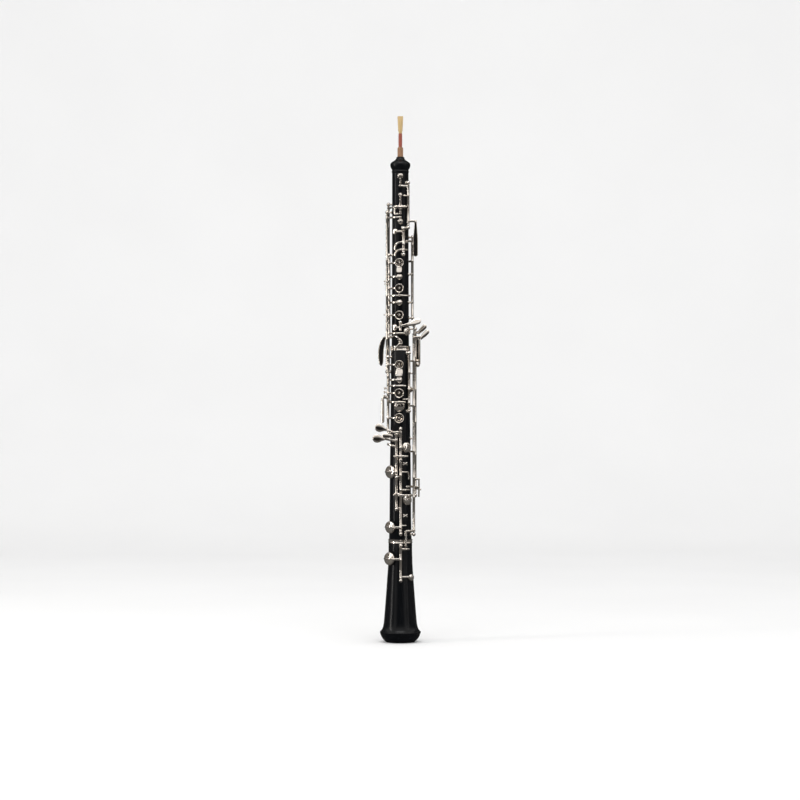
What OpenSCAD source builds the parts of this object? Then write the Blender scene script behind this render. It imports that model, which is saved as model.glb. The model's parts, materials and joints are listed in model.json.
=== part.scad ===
// Oboe in three joints with its reed and keywork.
// Z runs up the bore from the bell's rim to the reed, and -Y is the front, where the finger plates are.
// Angles round the bore are measured from the front, positive towards +X.

/* [Body] */
// Height of the bell's top, below its socket ring
bell_top = 121.5; // [118:0.5:124]
// Height of the lower joint's foot, above the bell's socket ring
lower_foot = 126.2; // [126:0.1:127]
// Height of the lower joint's top, below the middle ring
lower_top = 357.7; // [356:0.1:359]
// Height of the upper joint's foot, above the middle ring
upper_foot = 363.4; // [363:0.1:364]
// Height of the upper joint's top
upper_top = 596; // [594:0.5:600]
// Radius of the bell's rim at its widest
rim_r = 25.3; // [24:0.1:26]
// Radius of the opening in the bell's foot
mouth_r = 16; // [15:0.5:17]
// Depth of the straight lip inside the bell's foot
mouth_lip = 6; // [4:0.5:8]
// Radius of the bore at the top end
bore_top_r = 2.1; // [1.9:0.1:2.4]
// Radius of the bore between the upper and lower joints
bore_middle_r = 5; // [4.6:0.1:5.4]
// Radius of the bore where it enters the bell
bore_bell_r = 7.7; // [7.4:0.1:8]
// Length of the tenons
tenon_length = 20; // [18:1:22]
// Radius of the middle tenon's cork
middle_cork_r = 8.3; // [8:0.1:8.6]
// Radius of the bell tenon's cork
bell_cork_r = 10.6; // [10.3:0.1:10.8]
// Thickness of the tenon corks
cork_wall = 0.9; // [0.7:0.1:1.2]

/* [Reed] */
// Depth of the reed well
well_depth = 23; // [20:1:25]
// Radius of the reed well
well_r = 3.55; // [3.5:0.01:3.6]
// Radius of the staple's cork
staple_cork_r = 3.5; // [3.45:0.01:3.5]
// Height of the cork's top above the upper joint
cork_show = 12; // [10:0.5:14]
// Length of the thread winding
thread_length = 17; // [15:0.5:19]
// Length of cane above the thread
cane_length = 21.3; // [19:0.1:24]
// Width of the reed's tip
tip_w = 7.2; // [6.8:0.1:7.4]

/* [Keywork] */
// Radius of the steel hinge rods
rod_r = 0.95; // [0.8:0.05:1]
// Gap between a rod and its key tube
rod_gap = 0.05; // [0.02:0.01:0.08]
// Radius of the key tubes
tube_r = 1.7; // [1.6:0.05:1.8]
// Radius of the posts' ball heads
ball_r = 2.3; // [2.2:0.05:2.4]
// Radius of the posts' stems
stem_r = 1.25; // [1.1:0.05:1.4]
// Depth of a post's screw in the wood
post_depth = 2.6; // [2:0.1:3]
// Thickness of the key arms
arm_t = 1.5; // [1.3:0.1:1.7]
// Width of the key arms
arm_w = 3; // [2.6:0.1:3.2]
// Height of the low arms above the wood
arm_lift = 1.6; // [1.5:0.1:1.8]
// Height of a key cup from its rim to its top
cup_h = 2.5; // [2.3:0.1:2.7]
// Height of a cup's rim above its tone hole's seat
cup_lift = 0.7; // [0.6:0.05:0.9]
// Wall of a key cup
cup_wall = 0.6; // [0.5:0.05:0.8]
// Thickness of the pads
pad_t = 1.9; // [1.7:0.1:2]
// Height of a tone hole's seat above the wood
seat_rise = 0.3; // [0.2:0.05:0.5]
// Gap left between a closed pad and its seat
pad_gap = 0.05; // [0.02:0.01:0.08]
// Angle through which the open-standing keys stand open
open_angle = 8; // [6:0.5:9]

/* [Upper key heights] */
// Side octave cup
side_octave_z = 571.7; // [570:0.1:573]
// Cup of the upper trill lever
c_trill_z = 548.5; // [546:0.1:550]
// Saddle of the upper trill lever
saddle_z = 533.7; // [532:0.1:535]
// Cup of the lower trill key
d_trill_z = 515.8; // [514:0.1:517]
// First octave cup
first_octave_z = 503.6; // [503:0.1:505]
// Plate for the left forefinger
half_hole_z = 465; // [464:0.5:466]
// Small vent cup under the left forefinger
b_vent_z = 448; // [447:0.1:448.5]
// Plate for the left middle finger
b_key_z = 434; // [433:0.5:435]
// Small vent cup under the left middle finger
a_vent_z = 416.5; // [416:0.1:417]
// Plate for the left ring finger
g_key_z = 401; // [400:0.5:402]
// Right-hand cup worked by the left ring finger
g_cup_z = 381; // [380:0.5:382]
// G sharp cup
g_sharp_z = 386; // [385.5:0.1:386.5]

/* [Lower key heights] */
// Plate for the right forefinger
f_sharp_z = 340.3; // [339:0.1:341]
// Small vent cup under the right forefinger
f_vent_z = 321.8; // [321:0.1:322]
// Plate for the right middle finger
e_key_z = 305.5; // [305:0.5:306]
// Plate for the right ring finger
d_key_z = 275; // [274:0.5:276]
// Vent cup over the right ring finger's plate
d_vent_z = 289.8; // [289:0.1:290]
// Resonance cup on the right
f_resonance_z = 310; // [308:0.5:312]
// E flat cup, upper cup on the right
e_flat_z = 239; // [238:0.5:240]
// Low C cup, upper cup on the left
low_c_z = 209; // [208.5:0.5:210]
// C sharp cup, lower cup on the right
c_sharp_z = 174.5; // [174:0.5:176]
// Low B cup, lower cup on the left
low_b_z = 141.3; // [141:0.1:142]
// Bell cup
bell_cup_z = 102.8; // [102:0.1:104]
// Small resonance cup on the bell
bell_vent_z = 79.8; // [79:0.1:81]

/* [Hidden] */
$fn = 64;

// Outline of the wood as height and radius, from the foot up
lower_outline = [[lower_foot, 13.9], [150, 13.3], [175, 13.1], [210, 12.9], [245, 12.4],
    [280, 12], [320, 11.7], [lower_top, 11.6]];
upper_outline = [[upper_foot, 10.7], [420, 10.4], [480, 10.2], [576, 10.1]];
bell_neck = [[60, 17.4], [74, 16.4], [78, 16.1], [94, 15.1], [112, 14.5], [bell_top, 14.5]];
function wood_r(z) = lookup(z, concat(bell_neck, lower_outline, upper_outline));

// Height of the flat seat for a pad of radius r, measured outwards from the bore
function seat(z, r) = wood_r(z - r) + seat_rise;
function bezier(p, t) = pow(1 - t, 3) * p[0] + 3 * t * pow(1 - t, 2) * p[1]
    + 3 * t * t * (1 - t) * p[2] + pow(t, 3) * p[3];
function curve(p, n) = [for (i = [0 : n]) bezier(p, i / n)];
function swapped(outline) = [for (p = outline) [p[1], p[0]]];

// Hinge lines as angle round the bore and distance from it
octave_line = [46, 13.4];
thumb_line = [79, 15];
first_octave_line = [17, 13.8];
left_line = [-72, 14.4];
trill_line = [-98, 16.4];
high_trill_line = [-116, 16.2];
right_hand_line = [-71.5, 15.8];
resonance_line = [44, 15.4];
front_left_line = [-16, 17.2];
front_line = [1.5, 17.2];
bell_line = [1.5, 18.6];
b_flat_line = [64, 18.4];
b_line = [84, 18.4];
g_sharp_line = [0, 14.4];

// Foot and top of the keys' tubes
side_octave_tube = [511.1, 560.9];
thumb_octave_tube = [400.6, 494.4];
first_octave_tube = [478.1, 504.9];
c_trill_tube = [298.6, 535.4];
d_trill_tube = [334.6, 525.4];
half_hole_tube = [453.2, 472.3];
b_vent_tube = [443.9, 452.9];
b_tube = [421.1, 443.6];
a_vent_tube = [412, 420.8];
g_tube = [377.1, 411.7];
g_sharp_tube = [382, 389.5];
f_sharp_tube = [326.3, 347.4];
f_vent_tube = [317.2, 326];
e_tube = [297.2, 316.9];
d_tube = [259.1, 296.9];
f_resonance_tube = [286, 352.4];
e_flat_tube = [226.6, 259.4];
low_c_tube = [205.2, 252.3];
c_sharp_tube = [166.6, 199.9];
low_b_tube = [136.4, 221.1];
low_b_touch_tube = [183, 381.7];
low_b_flat_touch_tube = [135.2, 378.7];
bell_tube = [79, 116.5];

// Sizes of the cups
plate_r = 5.6;
low_plate_r = 6.1;
vent_r = 3.7;
tiny_cup_r = 2.5;
side_cup_r = 6.2;
big_cup_r = 8;
low_b_cup_r = 7.5;
g_cup_r = 5;
g_sharp_r = 4.2;
d_vent_r = 6.6;
bell_vent_r = 4.3;
bar_t = 1.3;
touch_t = 1.7;

// Things placed round the bore
module round_bore(angle, r, z) rotate([0, 0, angle]) translate([0, -r, z]) children();
module outwards(angle, z) rotate([0, 0, angle]) translate([0, 0, z]) rotate([90, 0, 0]) children();

// Turns what it holds about a hinge line
module swung(line, angle) {
    x = line[1] * sin(line[0]);
    y = -line[1] * cos(line[0]);
    translate([x, y, 0]) rotate([0, 0, angle]) translate([-x, -y, 0]) children();
}

// A ring-shaped piece of the height h whose hole has the radius r_in
module ring(r_in, r_out, h) difference() {
    cylinder(r = r_out, h = h);
    translate([0, 0, -1]) cylinder(r = r_in, h = h + 2);
}

// ---- Wood ----

module seat_boss(hole) outwards(hole[0], hole[1]) cylinder(r = hole[2] - 0.9, h = seat(hole[1], hole[2]));
module seat_hole(hole) outwards(hole[0], hole[1]) cylinder(r = hole[2] * 0.42, h = 40);
module post_hole(post) outwards(post[0], post[2])
    translate([0, 0, wood_r(post[2]) - post_depth - 0.1]) cylinder(r = stem_r + 0.05, h = 10);

upper_holes = [
    [0, side_octave_z, vent_r - 0.2], [0, c_trill_z, tiny_cup_r], [0, d_trill_z, vent_r - 0.4],
    [-35, first_octave_z, vent_r], [0, half_hole_z, plate_r], [0, b_vent_z, vent_r],
    [0, b_key_z, plate_r], [0, a_vent_z, vent_r], [0, g_key_z, plate_r],
    [48, g_cup_z, g_cup_r], [-37, g_sharp_z, g_sharp_r]
];
lower_holes = [
    [0, f_sharp_z, plate_r], [0, f_vent_z, vent_r], [0, e_key_z, plate_r + 0.3],
    [0, d_vent_z, d_vent_r], [0, d_key_z, low_plate_r], [72, f_resonance_z, vent_r], [33, e_flat_z, side_cup_r],
    [-52, low_c_z, big_cup_r], [37, c_sharp_z, side_cup_r], [-52, low_b_z, low_b_cup_r]
];
bell_holes = [[-50, bell_cup_z, big_cup_r], [49, bell_vent_z, bell_vent_r]];

// Posts as angle, distance and height of their ball heads
function posts_on(line, heights) = [for (z = heights) [line[0], line[1], z]];
upper_post_list = concat(
    posts_on(octave_line, [563.5, 508.5]), posts_on(first_octave_line, [507.5, 475.5]),
    posts_on(thumb_line, [497, 398]), posts_on(left_line, [475, 374.5]),
    posts_on(trill_line, [528]), posts_on(high_trill_line, [538]),
    posts_on(b_flat_line, [389]), posts_on(b_line, [384.5]), posts_on(g_sharp_line, [392]));
lower_post_list = concat(
    posts_on(right_hand_line, [350, 256.5]), posts_on(resonance_line, [354.8, 283.6]),
    posts_on(trill_line, [332]),
    posts_on(high_trill_line, [296]), posts_on(front_left_line, [255, 202.5, 164]),
    posts_on(front_line, [262, 224, 133.5]), posts_on(b_flat_line, [132.5]), posts_on(b_line, [180]));
bell_post_list = posts_on(bell_line, [76.4, 119.1]);

module upper_joint() color("#1b1d24") difference() {
    union() {
        rotate_extrude() polygon(concat([[0, upper_foot]], swapped(upper_outline),
            curve([[10.1, 576], [10.3, 577.2], [11.2, 577.4], [10.1, 579.3]], 6),
            curve([[10.3, 580.5], [12.9, 584], [12.4, 588.5], [7.7, 591.7]], 8),
            curve([[6.6, 592.4], [5, 593], [4.8, 593.6], [4.8, upper_top]], 5), [[0, upper_top]]));
        translate([0, 0, upper_foot - tenon_length + 0.2])
            cylinder(r = middle_cork_r - cork_wall - 0.02, h = tenon_length);
        for (hole = upper_holes) seat_boss(hole);
    }
    rotate_extrude() polygon([[0, upper_foot - tenon_length], [bore_middle_r, upper_foot - tenon_length],
        [bore_middle_r, upper_foot], [bore_top_r, upper_top - well_depth + 1],
        [0, upper_top - well_depth + 1]]);
    translate([0, 0, upper_top - well_depth]) cylinder(r = well_r, h = well_depth + 1);
    for (hole = upper_holes) seat_hole(hole);
    for (post = upper_post_list) post_hole(post);
}

module lower_joint() color("#191b22") difference() {
    union() {
        rotate_extrude() polygon(concat([[0, lower_foot]], swapped(lower_outline), [[0, lower_top]]));
        translate([0, 0, lower_foot - tenon_length + 0.2])
            cylinder(r = bell_cork_r - cork_wall - 0.02, h = tenon_length);
        for (hole = lower_holes) seat_boss(hole);
    }
    rotate_extrude() polygon([[0, lower_foot - tenon_length - 1], [bore_bell_r, lower_foot - tenon_length - 1],
        [bore_bell_r, lower_foot], [bore_middle_r, lower_top - tenon_length + 5],
        [0, lower_top - tenon_length + 5]]);
    translate([0, 0, upper_foot - tenon_length]) cylinder(r = middle_cork_r + 0.05, h = tenon_length);
    for (hole = lower_holes) seat_hole(hole);
    for (post = lower_post_list) post_hole(post);
    thumb_rest_screw_places() translate([0, 0, -3]) cylinder(r = 0.9, h = 8);
}

module bell() color("#191b22") difference() {
    union() {
        rotate_extrude() polygon(concat([[0, 0]],
            curve([[19, 0], [22.6, 0.6], [rim_r - 0.2, 8], [rim_r, 12.3]], 8),
            curve([[rim_r - 0.1, 13.2], [24.4, 16.2], [21.2, 17], [20.2, 26]], 8),
            curve([[20, 28], [18.8, 42], [16.2, 74], [15, 94]], 8),
            [[14.5, 112], [14.5, bell_top], [0, bell_top]]));
        for (hole = bell_holes) seat_boss(hole);
    }
    translate([0, 0, -1]) cylinder(r = mouth_r, h = mouth_lip + 1);
    rotate_extrude() polygon(concat([[0, 5]], curve([[mouth_r, 5], [14, 26], [9.4, 70], [8.2, 107]], 10),
        [[0, 107]]));
    translate([0, 0, lower_foot - tenon_length - 0.2]) cylinder(r = bell_cork_r + 0.05, h = 40);
    for (hole = bell_holes) seat_hole(hole);
    for (post = bell_post_list) post_hole(post);
}

module tenon_corks() color("#b5946b") for (tenon = [[upper_foot, middle_cork_r], [lower_foot, bell_cork_r]])
    translate([0, 0, tenon[0] - tenon_length + 1])
        ring(tenon[1] - cork_wall, tenon[1], tenon_length - 2);
module middle_socket_ring() color("silver") translate([0, 0, lower_top + 0.02])
    ring(middle_cork_r + 0.1, 12.4, upper_foot - lower_top - 0.04);
module bell_socket_ring() color("silver") translate([0, 0, bell_top + 0.02])
    ring(bell_cork_r + 0.1, 14.9, lower_foot - bell_top - 0.04);

// ---- Posts, rods, guides and thumb rest ----

module post_set(posts) for (post = posts) {
    foot = wood_r(post[2]) - post_depth;
    difference() {
        union() {
            outwards(post[0], post[2]) translate([0, 0, foot]) cylinder(r = stem_r, h = post[1] - foot);
            outwards(post[0], post[2]) translate([0, 0, wood_r(post[2] - 2) + 0.1]) cylinder(r = 2, h = 0.6);
            round_bore(post[0], post[1], post[2]) sphere(r = ball_r);
        }
        round_bore(post[0], post[1], post[2] - 4) cylinder(r = rod_r + 0.01, h = 8);
    }
}
module posts() color("silver") post_set(concat(upper_post_list, lower_post_list, bell_post_list));

// Rods as line, lower end and upper end
rod_list = [
    [octave_line, 506, 566], [first_octave_line, 473, 510], [thumb_line, 395.5, 499.5],
    [left_line, 372, 477.5], [trill_line, 329.5, 530.5], [high_trill_line, 293.5, 540.5],
    [b_flat_line, 130, 391.5], [b_line, 177.5, 387], [right_hand_line, 254, 352.5],
    [resonance_line, 281.1, 357.3],
    [front_left_line, 161.5, 257.5], [front_line, 131, 264.5], [bell_line, 74, 121.3], [g_sharp_line, 381.8, 394.6]
];
module hinge_rods() color("#9a9a9c") for (rod = rod_list)
    round_bore(rod[0][0], rod[0][1], rod[1]) difference() {
        cylinder(r = rod_r, h = rod[2] - rod[1]);
        translate([-rod_r, -0.2, rod[2] - rod[1] - 0.6]) cube([2 * rod_r, 0.4, 1]);
    }

// Plate for the right thumb at the back of the lower joint, with its hook and strap ring
rest_z = 285;
rest_plate_y = 12.15;
module thumb_rest_screw_places() for (dz = [-11.2, 11.2])
    translate([0, rest_plate_y + 1.6, rest_z + dz]) rotate([90, 0, 0]) children();
module thumb_rest() color("silver") difference() {
    union() {
        translate([-4.5, rest_plate_y, rest_z - 14]) cube([9, 1.6, 28]);
        translate([-4.3, rest_plate_y + 1, rest_z - 1.4]) cube([8.6, 13, 2.8]);
        translate([-4.1, rest_plate_y + 13, rest_z + 0.9]) rotate([0, 90, 0]) cylinder(r = 3.2, h = 8.2);
        translate([-1.2, rest_plate_y + 4.9, rest_z - 5.5]) rotate([0, 90, 0]) cylinder(r = 3.5, h = 2.4);
    }
    translate([-5, rest_plate_y + 4.9, rest_z - 5.5]) rotate([0, 90, 0]) cylinder(r = 2.2, h = 10);
    thumb_rest_screw_places() translate([0, 0, -1]) cylinder(r = 1.2, h = 4);
}
module thumb_rest_screws() color("#a8a8aa") thumb_rest_screw_places() difference() {
    union() {
        translate([0, 0, -1.4]) cylinder(r = 2, h = 1.3);
        translate([0, 0, -0.2]) cylinder(r = 0.85, h = 4.2);
    }
    translate([-3, -0.3, -2]) cube([6, 0.6, 1.1]);
}

// Saddle in which the upper trill lever rocks on two pointed screws
saddle_r = 13.6;
saddle_half_w = 4.6;
module lever_saddle() color("silver") difference() {
    union() {
        round_bore(0, 12.3, saddle_z) translate([-saddle_half_w - 0.9, -0.8, -2])
            cube([2 * saddle_half_w + 1.8, 1.6, 4]);
        for (side = [-1, 1]) translate([side * (saddle_half_w - 0.6), -saddle_r, saddle_z])
            rotate([0, side * 90, 0]) {
                cylinder(r = 2.3, h = 1.8);
                translate([0, 0, -1.6]) cylinder(r = 0.7, h = 3);
                translate([0, 0, 1.5]) cylinder(r = 1.4, h = 1.2);
            }
        outwards(0, saddle_z) translate([0, 0, wood_r(saddle_z) + 0.1]) cylinder(r = 3.1, h = 1.7);
    }
    translate([-2.2, -saddle_r - 3, saddle_z - 4]) cube([4.4, 4.4, 8]);
}

// Forked guides that keep the long tubes from whipping
guide_list = [
    [thumb_line, 451.5], [thumb_line, 417], [b_flat_line, 345], [b_flat_line, 290],
    [b_flat_line, 234], [b_line, 330], [b_line, 250]
];
module key_guides() color("silver") for (guide = guide_list) {
    r = guide[0][1];
    foot = wood_r(guide[1] - 2) + 0.1;
    outwards(guide[0][0], guide[1]) difference() {
        union() {
            translate([0, 0, foot]) cylinder(r = 2, h = 0.8);
            translate([0, 0, foot]) cylinder(r = 1.1, h = r - foot - 1);
            translate([-2.9, -1.2, r - 2.7]) cube([5.8, 2.4, 3.6]);
        }
        translate([0, 2, r]) rotate([90, 0, 0]) cylinder(r = tube_r + 0.2, h = 4);
        translate([-tube_r - 0.2, -2, r]) cube([2 * tube_r + 0.4, 4, 4]);
    }
}

// ---- Reed ----

module reed_staple() color("#c9a86a") translate([0, 0, upper_top - well_depth + 0.5]) difference() {
    cylinder(r1 = 2.6, r2 = 1.9, h = 45);
    translate([0, 0, -1]) cylinder(r1 = 2.3, r2 = 1.4, h = 47);
}
module staple_cork() color("#c0a080") translate([0, 0, upper_top - well_depth + 0.6]) difference() {
    cylinder(r = staple_cork_r, h = well_depth - 0.6 + cork_show);
    translate([0, 0, -0.5]) cylinder(r = 2.65, h = well_depth + cork_show + 2);
}
thread_foot = upper_top + cork_show;
thread_top = thread_foot + thread_length;
reed_top = thread_top + cane_length;
module reed_thread() color("#b5564a") translate([0, 0, thread_foot + 0.05]) rotate_extrude()
    polygon(concat([[2.2, 0], [2.95, 0]], curve([[2.95, 0.1], [2.8, 5], [2.7, 12], [2.5, thread_length - 0.6]], 4),
        [[2.2, thread_length - 0.2]]));
module blade(side) translate([0, 0, thread_top]) intersection() {
    rotate([90, 0, 0]) linear_extrude(height = 8, center = true)
        polygon([[-2.35, 0], [2.35, 0], [2.6, 6], [tip_w / 2, cane_length], [-tip_w / 2, cane_length],
            [-2.6, 6]]);
    rotate([90, 0, 90]) linear_extrude(height = 10, center = true)
        polygon([[side * 0.05, 0], [side * 2.3, 0], [side * 1.9, 6], [side * 0.25, cane_length],
            [side * 0.05, cane_length]]);
}
module reed_blades() color("#d9bd84") for (side = [-1, 1]) blade(side);

// ---- Parts of keys ----

// A key of one tube between two heights on its rod, with recesses for the pads of its cups.
// A cup is an angle, a height and a radius.
module key(line, tube, cups = []) difference() {
    union() {
        round_bore(line[0], line[1], tube[0]) cylinder(r = tube_r, h = tube[1] - tube[0]);
        children();
    }
    round_bore(line[0], line[1], tube[0] - 1) cylinder(r = rod_r + rod_gap, h = tube[1] - tube[0] + 2);
    for (cup = cups) recess(cup);
}
// Space for the pad under a cup
module recess(cup) outwards(cup[0], cup[1]) translate([0, 0, seat(cup[1], cup[2]) - 2])
    cylinder(r = cup[2] - cup_wall, h = 4);
// Arm that curves round the bore at the radius r, from a hinge line to an angle
module arm(line, z, angle, r) {
    outer = max(r + arm_t - 0.3, line[1]);
    inner = min(r + 0.3, line[1]);
    translate([0, 0, z - arm_w / 2]) rotate([0, 0, min(line[0], angle) - 90])
        rotate_extrude(angle = abs(angle - line[0])) translate([r, 0]) square([arm_t, arm_w]);
    round_bore(line[0], outer, z - arm_w / 2 + 0.1) translate([-1.1, 0, 0])
        cube([2.2, outer - inner, arm_w - 0.2]);
}
// Arm that stays close over the wood
module low_arm(line, z, angle) arm(line, z, angle, wood_r(z) + arm_lift);
// Upright bar between two heights
module upright(angle, r, foot, top, w = 2.6) round_bore(angle, r, foot)
    translate([-w / 2, -arm_t, 0]) cube([w, arm_t, top - foot]);
// Level bar between two places seen from above
module level_bar(from, to, z) {
    run = to - from;
    translate([from[0], from[1], z - arm_w / 2]) rotate([0, 0, atan2(run[1], run[0])])
        translate([0, -bar_t / 2, 0]) cube([norm(run), bar_t, arm_w]);
}
// Touch that faces the front, of the width w and height h, with rounded ends, its right end tilted up
module touch(x, y, z, w, h, tilt = 0) translate([x, y, z]) rotate([0, -tilt, 0]) rotate([90, 0, 0]) {
    r = min(w, h) / 2;
    linear_extrude(height = touch_t, center = true) {
        translate([-w / 2 + (w > h ? r : 0), -h / 2 + (h > w ? r : 0)])
            square([w - (w > h ? 2 * r : 0), h - (h > w ? 2 * r : 0)]);
        for (side = [-1, 1]) translate([side * max(0, w / 2 - r), side * max(0, h / 2 - r)])
            circle(r = r * 1.04);
    }
}
module cup(angle, z, r) outwards(angle, z) translate([0, 0, seat(z, r) + cup_lift]) rotate_extrude()
    polygon(concat([[0, 0], [r, 0]], curve([[r, 1.3], [r, 2], [r - 0.5, cup_h - 0.3], [r - 1.2, cup_h - 0.2]], 4),
        [[r * 0.35, cup_h], [0, cup_h]]));
// Finger plate: a cup with a dished top and a small hole in the middle
module plate(angle, z, r) outwards(angle, z) translate([0, 0, seat(z, r) + cup_lift]) difference() {
    rotate_extrude() polygon(concat([[0, 0], [r, 0]],
        curve([[r, 1.6], [r, 2.3], [r - 0.4, cup_h + 0.2], [r - 0.9, cup_h + 0.2]], 4),
        curve([[r - 1.1, cup_h + 0.1], [r - 2, cup_h - 0.4], [2, cup_h - 0.6], [0, cup_h - 0.6]], 4)));
    cylinder(r = 0.7, h = 5);
}
module pad(angle, z, r) color("#d8c9a8") outwards(angle, z) translate([0, 0, seat(z, r) + pad_gap])
    cylinder(r = r - cup_wall - 0.02, h = pad_t);

// ---- Keys of the upper joint ----

octave_cup = [0, side_octave_z, vent_r - 0.2];
function spot(angle, r) = [r * sin(angle), -r * cos(angle)];
module side_octave_key() color("silver") key(octave_line, side_octave_tube, [octave_cup]) {
    low_arm(octave_line, 559.3, -5);
    upright(0, wood_r(560) + arm_lift, 557.8, side_octave_z);
    cup(octave_cup[0], octave_cup[1], octave_cup[2]);
    level_bar(spot(octave_line[0], octave_line[1]), [18.6, -9.5], 516);
    touch(18.7, -9.5, 495.5, 5.8, 45);
}
module side_octave_pad() pad(octave_cup[0], octave_cup[1], octave_cup[2]);

module thumb_octave_key() color("silver") key(thumb_line, thumb_octave_tube) {
    low_arm(thumb_line, 492.2, 34);
    arm(thumb_line, 468, 165, 12.4);
    outwards(168, 468) translate([0, 0, 12.5]) cylinder(r = 6.2, h = 1.6);
}

octave_vent_cup = [-35, first_octave_z, vent_r];
module first_octave_key() color("silver") key(first_octave_line, first_octave_tube, [octave_vent_cup]) {
    low_arm(first_octave_line, 503.3, octave_vent_cup[0]);
    low_arm(first_octave_line, 488, 42);
    low_arm(first_octave_line, 481, -30);
    cup(octave_vent_cup[0], octave_vent_cup[1], octave_vent_cup[2]);
}
module first_octave_pad() pad(octave_vent_cup[0], octave_vent_cup[1], octave_vent_cup[2]);

module c_trill_key() color("silver") key(high_trill_line, c_trill_tube) {
    low_arm(high_trill_line, 533.3, -36);
    upright(-35, wood_r(530) + arm_lift, 523.6, 534.8);
    translate([0, 0, 525.1 - arm_w / 2]) rotate([0, 0, -126]) rotate_extrude(angle = 24)
        translate([wood_r(525) + arm_lift, 0]) square([arm_t, arm_w]);
    level_bar(spot(high_trill_line[0], high_trill_line[1]), [-21.6, 3], 300.1);
    translate([-22.6, 2, 269]) cube([2, 2, 32]);
}
module c_trill_lever() color("silver") difference() {
    union() {
        translate([-1.3, -saddle_r - 0.7, 524.2]) cube([2.6, 1.4, c_trill_z - 524.2]);
        translate([-2, -saddle_r, saddle_z]) rotate([0, 90, 0]) cylinder(r = 1.3, h = 4);
        cup(0, c_trill_z, tiny_cup_r);
        outwards(0, c_trill_z) translate([0, 0, seat(c_trill_z, tiny_cup_r) + 1]) cylinder(r = 1.2, h = 3.2);
    }
    recess([0, c_trill_z, tiny_cup_r]);
}
module c_trill_pad() pad(0, c_trill_z, tiny_cup_r);

d_trill_cup = [0, d_trill_z, vent_r - 0.4];
module d_trill_key() color("silver") key(trill_line, d_trill_tube, [d_trill_cup]) {
    low_arm(trill_line, 521, 5);
    upright(0, wood_r(520) + arm_lift, d_trill_z, 522.5);
    cup(d_trill_cup[0], d_trill_cup[1], d_trill_cup[2]);
    level_bar(spot(trill_line[0], trill_line[1]), [-22, 1.6], 372);
    touch(-22.6, 1.6, 357, 7.4, 34);
}
module d_trill_pad() pad(d_trill_cup[0], d_trill_cup[1], d_trill_cup[2]);

// Plates and cups of the left hand stand open, turned outwards about the left line
module left_open() swung(left_line, -open_angle) children();

module half_hole_key() color("silver") left_open() key(left_line, half_hole_tube, [[0, half_hole_z, plate_r]]) {
    low_arm(left_line, half_hole_z, 0);
    plate(0, half_hole_z, plate_r);
    touch(0, -13.2, 456.6, 6.8, 6.2);
}
module half_hole_pad() left_open() pad(0, half_hole_z, plate_r);
module b_vent_key() color("silver") left_open() key(left_line, b_vent_tube, [[0, b_vent_z, vent_r]]) {
    low_arm(left_line, b_vent_z, 0);
    cup(0, b_vent_z, vent_r);
}
module b_vent_pad() left_open() pad(0, b_vent_z, vent_r);
module b_key() color("silver") left_open() key(left_line, b_tube, [[0, b_key_z, plate_r]]) {
    low_arm(left_line, b_key_z, 0);
    plate(0, b_key_z, plate_r);
    low_arm(left_line, 425, 68);
}
module b_pad() left_open() pad(0, b_key_z, plate_r);
module a_vent_key() color("silver") left_open() key(left_line, a_vent_tube, [[0, a_vent_z, vent_r]]) {
    low_arm(left_line, a_vent_z, 0);
    cup(0, a_vent_z, vent_r);
}
module a_vent_pad() left_open() pad(0, a_vent_z, vent_r);
g_cups = [[0, g_key_z, plate_r], [48, g_cup_z, g_cup_r]];
module g_key() color("silver") left_open() key(left_line, g_tube, g_cups) {
    low_arm(left_line, g_key_z, 0);
    plate(0, g_key_z, plate_r);
    low_arm(left_line, 378.8, 48);
    cup(48, g_cup_z, g_cup_r);
}
module g_pads() left_open() for (c = g_cups) pad(c[0], c[1], c[2]);
module g_sharp_key() color("silver") key(g_sharp_line, g_sharp_tube, [[-37, g_sharp_z, g_sharp_r]]) {
    low_arm(g_sharp_line, g_sharp_z, -37);
    cup(-37, g_sharp_z, g_sharp_r);
    level_bar([0.5, -15.6], [17, -15.3], 388);
    touch(18.6, -15.3, 392.6, 14, 7, 16);
}
module g_sharp_pad() pad(-37, g_sharp_z, g_sharp_r);

// ---- Keys of the lower joint ----

// Plates and cups of the right hand stand open, turned outwards about the right hand's line
module right_open() swung(right_hand_line, -open_angle) children();

module f_sharp_key() color("silver") right_open()
    key(right_hand_line, f_sharp_tube, [[0, f_sharp_z, plate_r]]) {
        low_arm(right_hand_line, f_sharp_z, 0);
        plate(0, f_sharp_z, plate_r);
        touch(0, -14.6, 330.6, 9, 8.6);
    }
module f_sharp_pad() right_open() pad(0, f_sharp_z, plate_r);
module f_vent_key() color("silver") right_open() key(right_hand_line, f_vent_tube, [[0, f_vent_z, vent_r]]) {
    low_arm(right_hand_line, f_vent_z, 0);
    cup(0, f_vent_z, vent_r);
}
module f_vent_pad() right_open() pad(0, f_vent_z, vent_r);
module e_key() color("silver") right_open() key(right_hand_line, e_tube, [[0, e_key_z, plate_r + 0.3]]) {
    low_arm(right_hand_line, e_key_z, 0);
    plate(0, e_key_z, plate_r + 0.3);
    low_arm(right_hand_line, 314.5, 32);
}
module e_pad() right_open() pad(0, e_key_z, plate_r + 0.3);
d_cups = [[0, d_key_z, low_plate_r], [0, d_vent_z, d_vent_r]];
module d_key() color("silver") right_open() key(right_hand_line, d_tube, d_cups) {
    low_arm(right_hand_line, d_key_z, 0);
    arm(right_hand_line, 294.4, 27, 15.1);
    plate(0, d_key_z, low_plate_r);
    cup(0, d_vent_z, d_vent_r);
}
module d_pads() right_open() for (c = d_cups) pad(c[0], c[1], c[2]);

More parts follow.
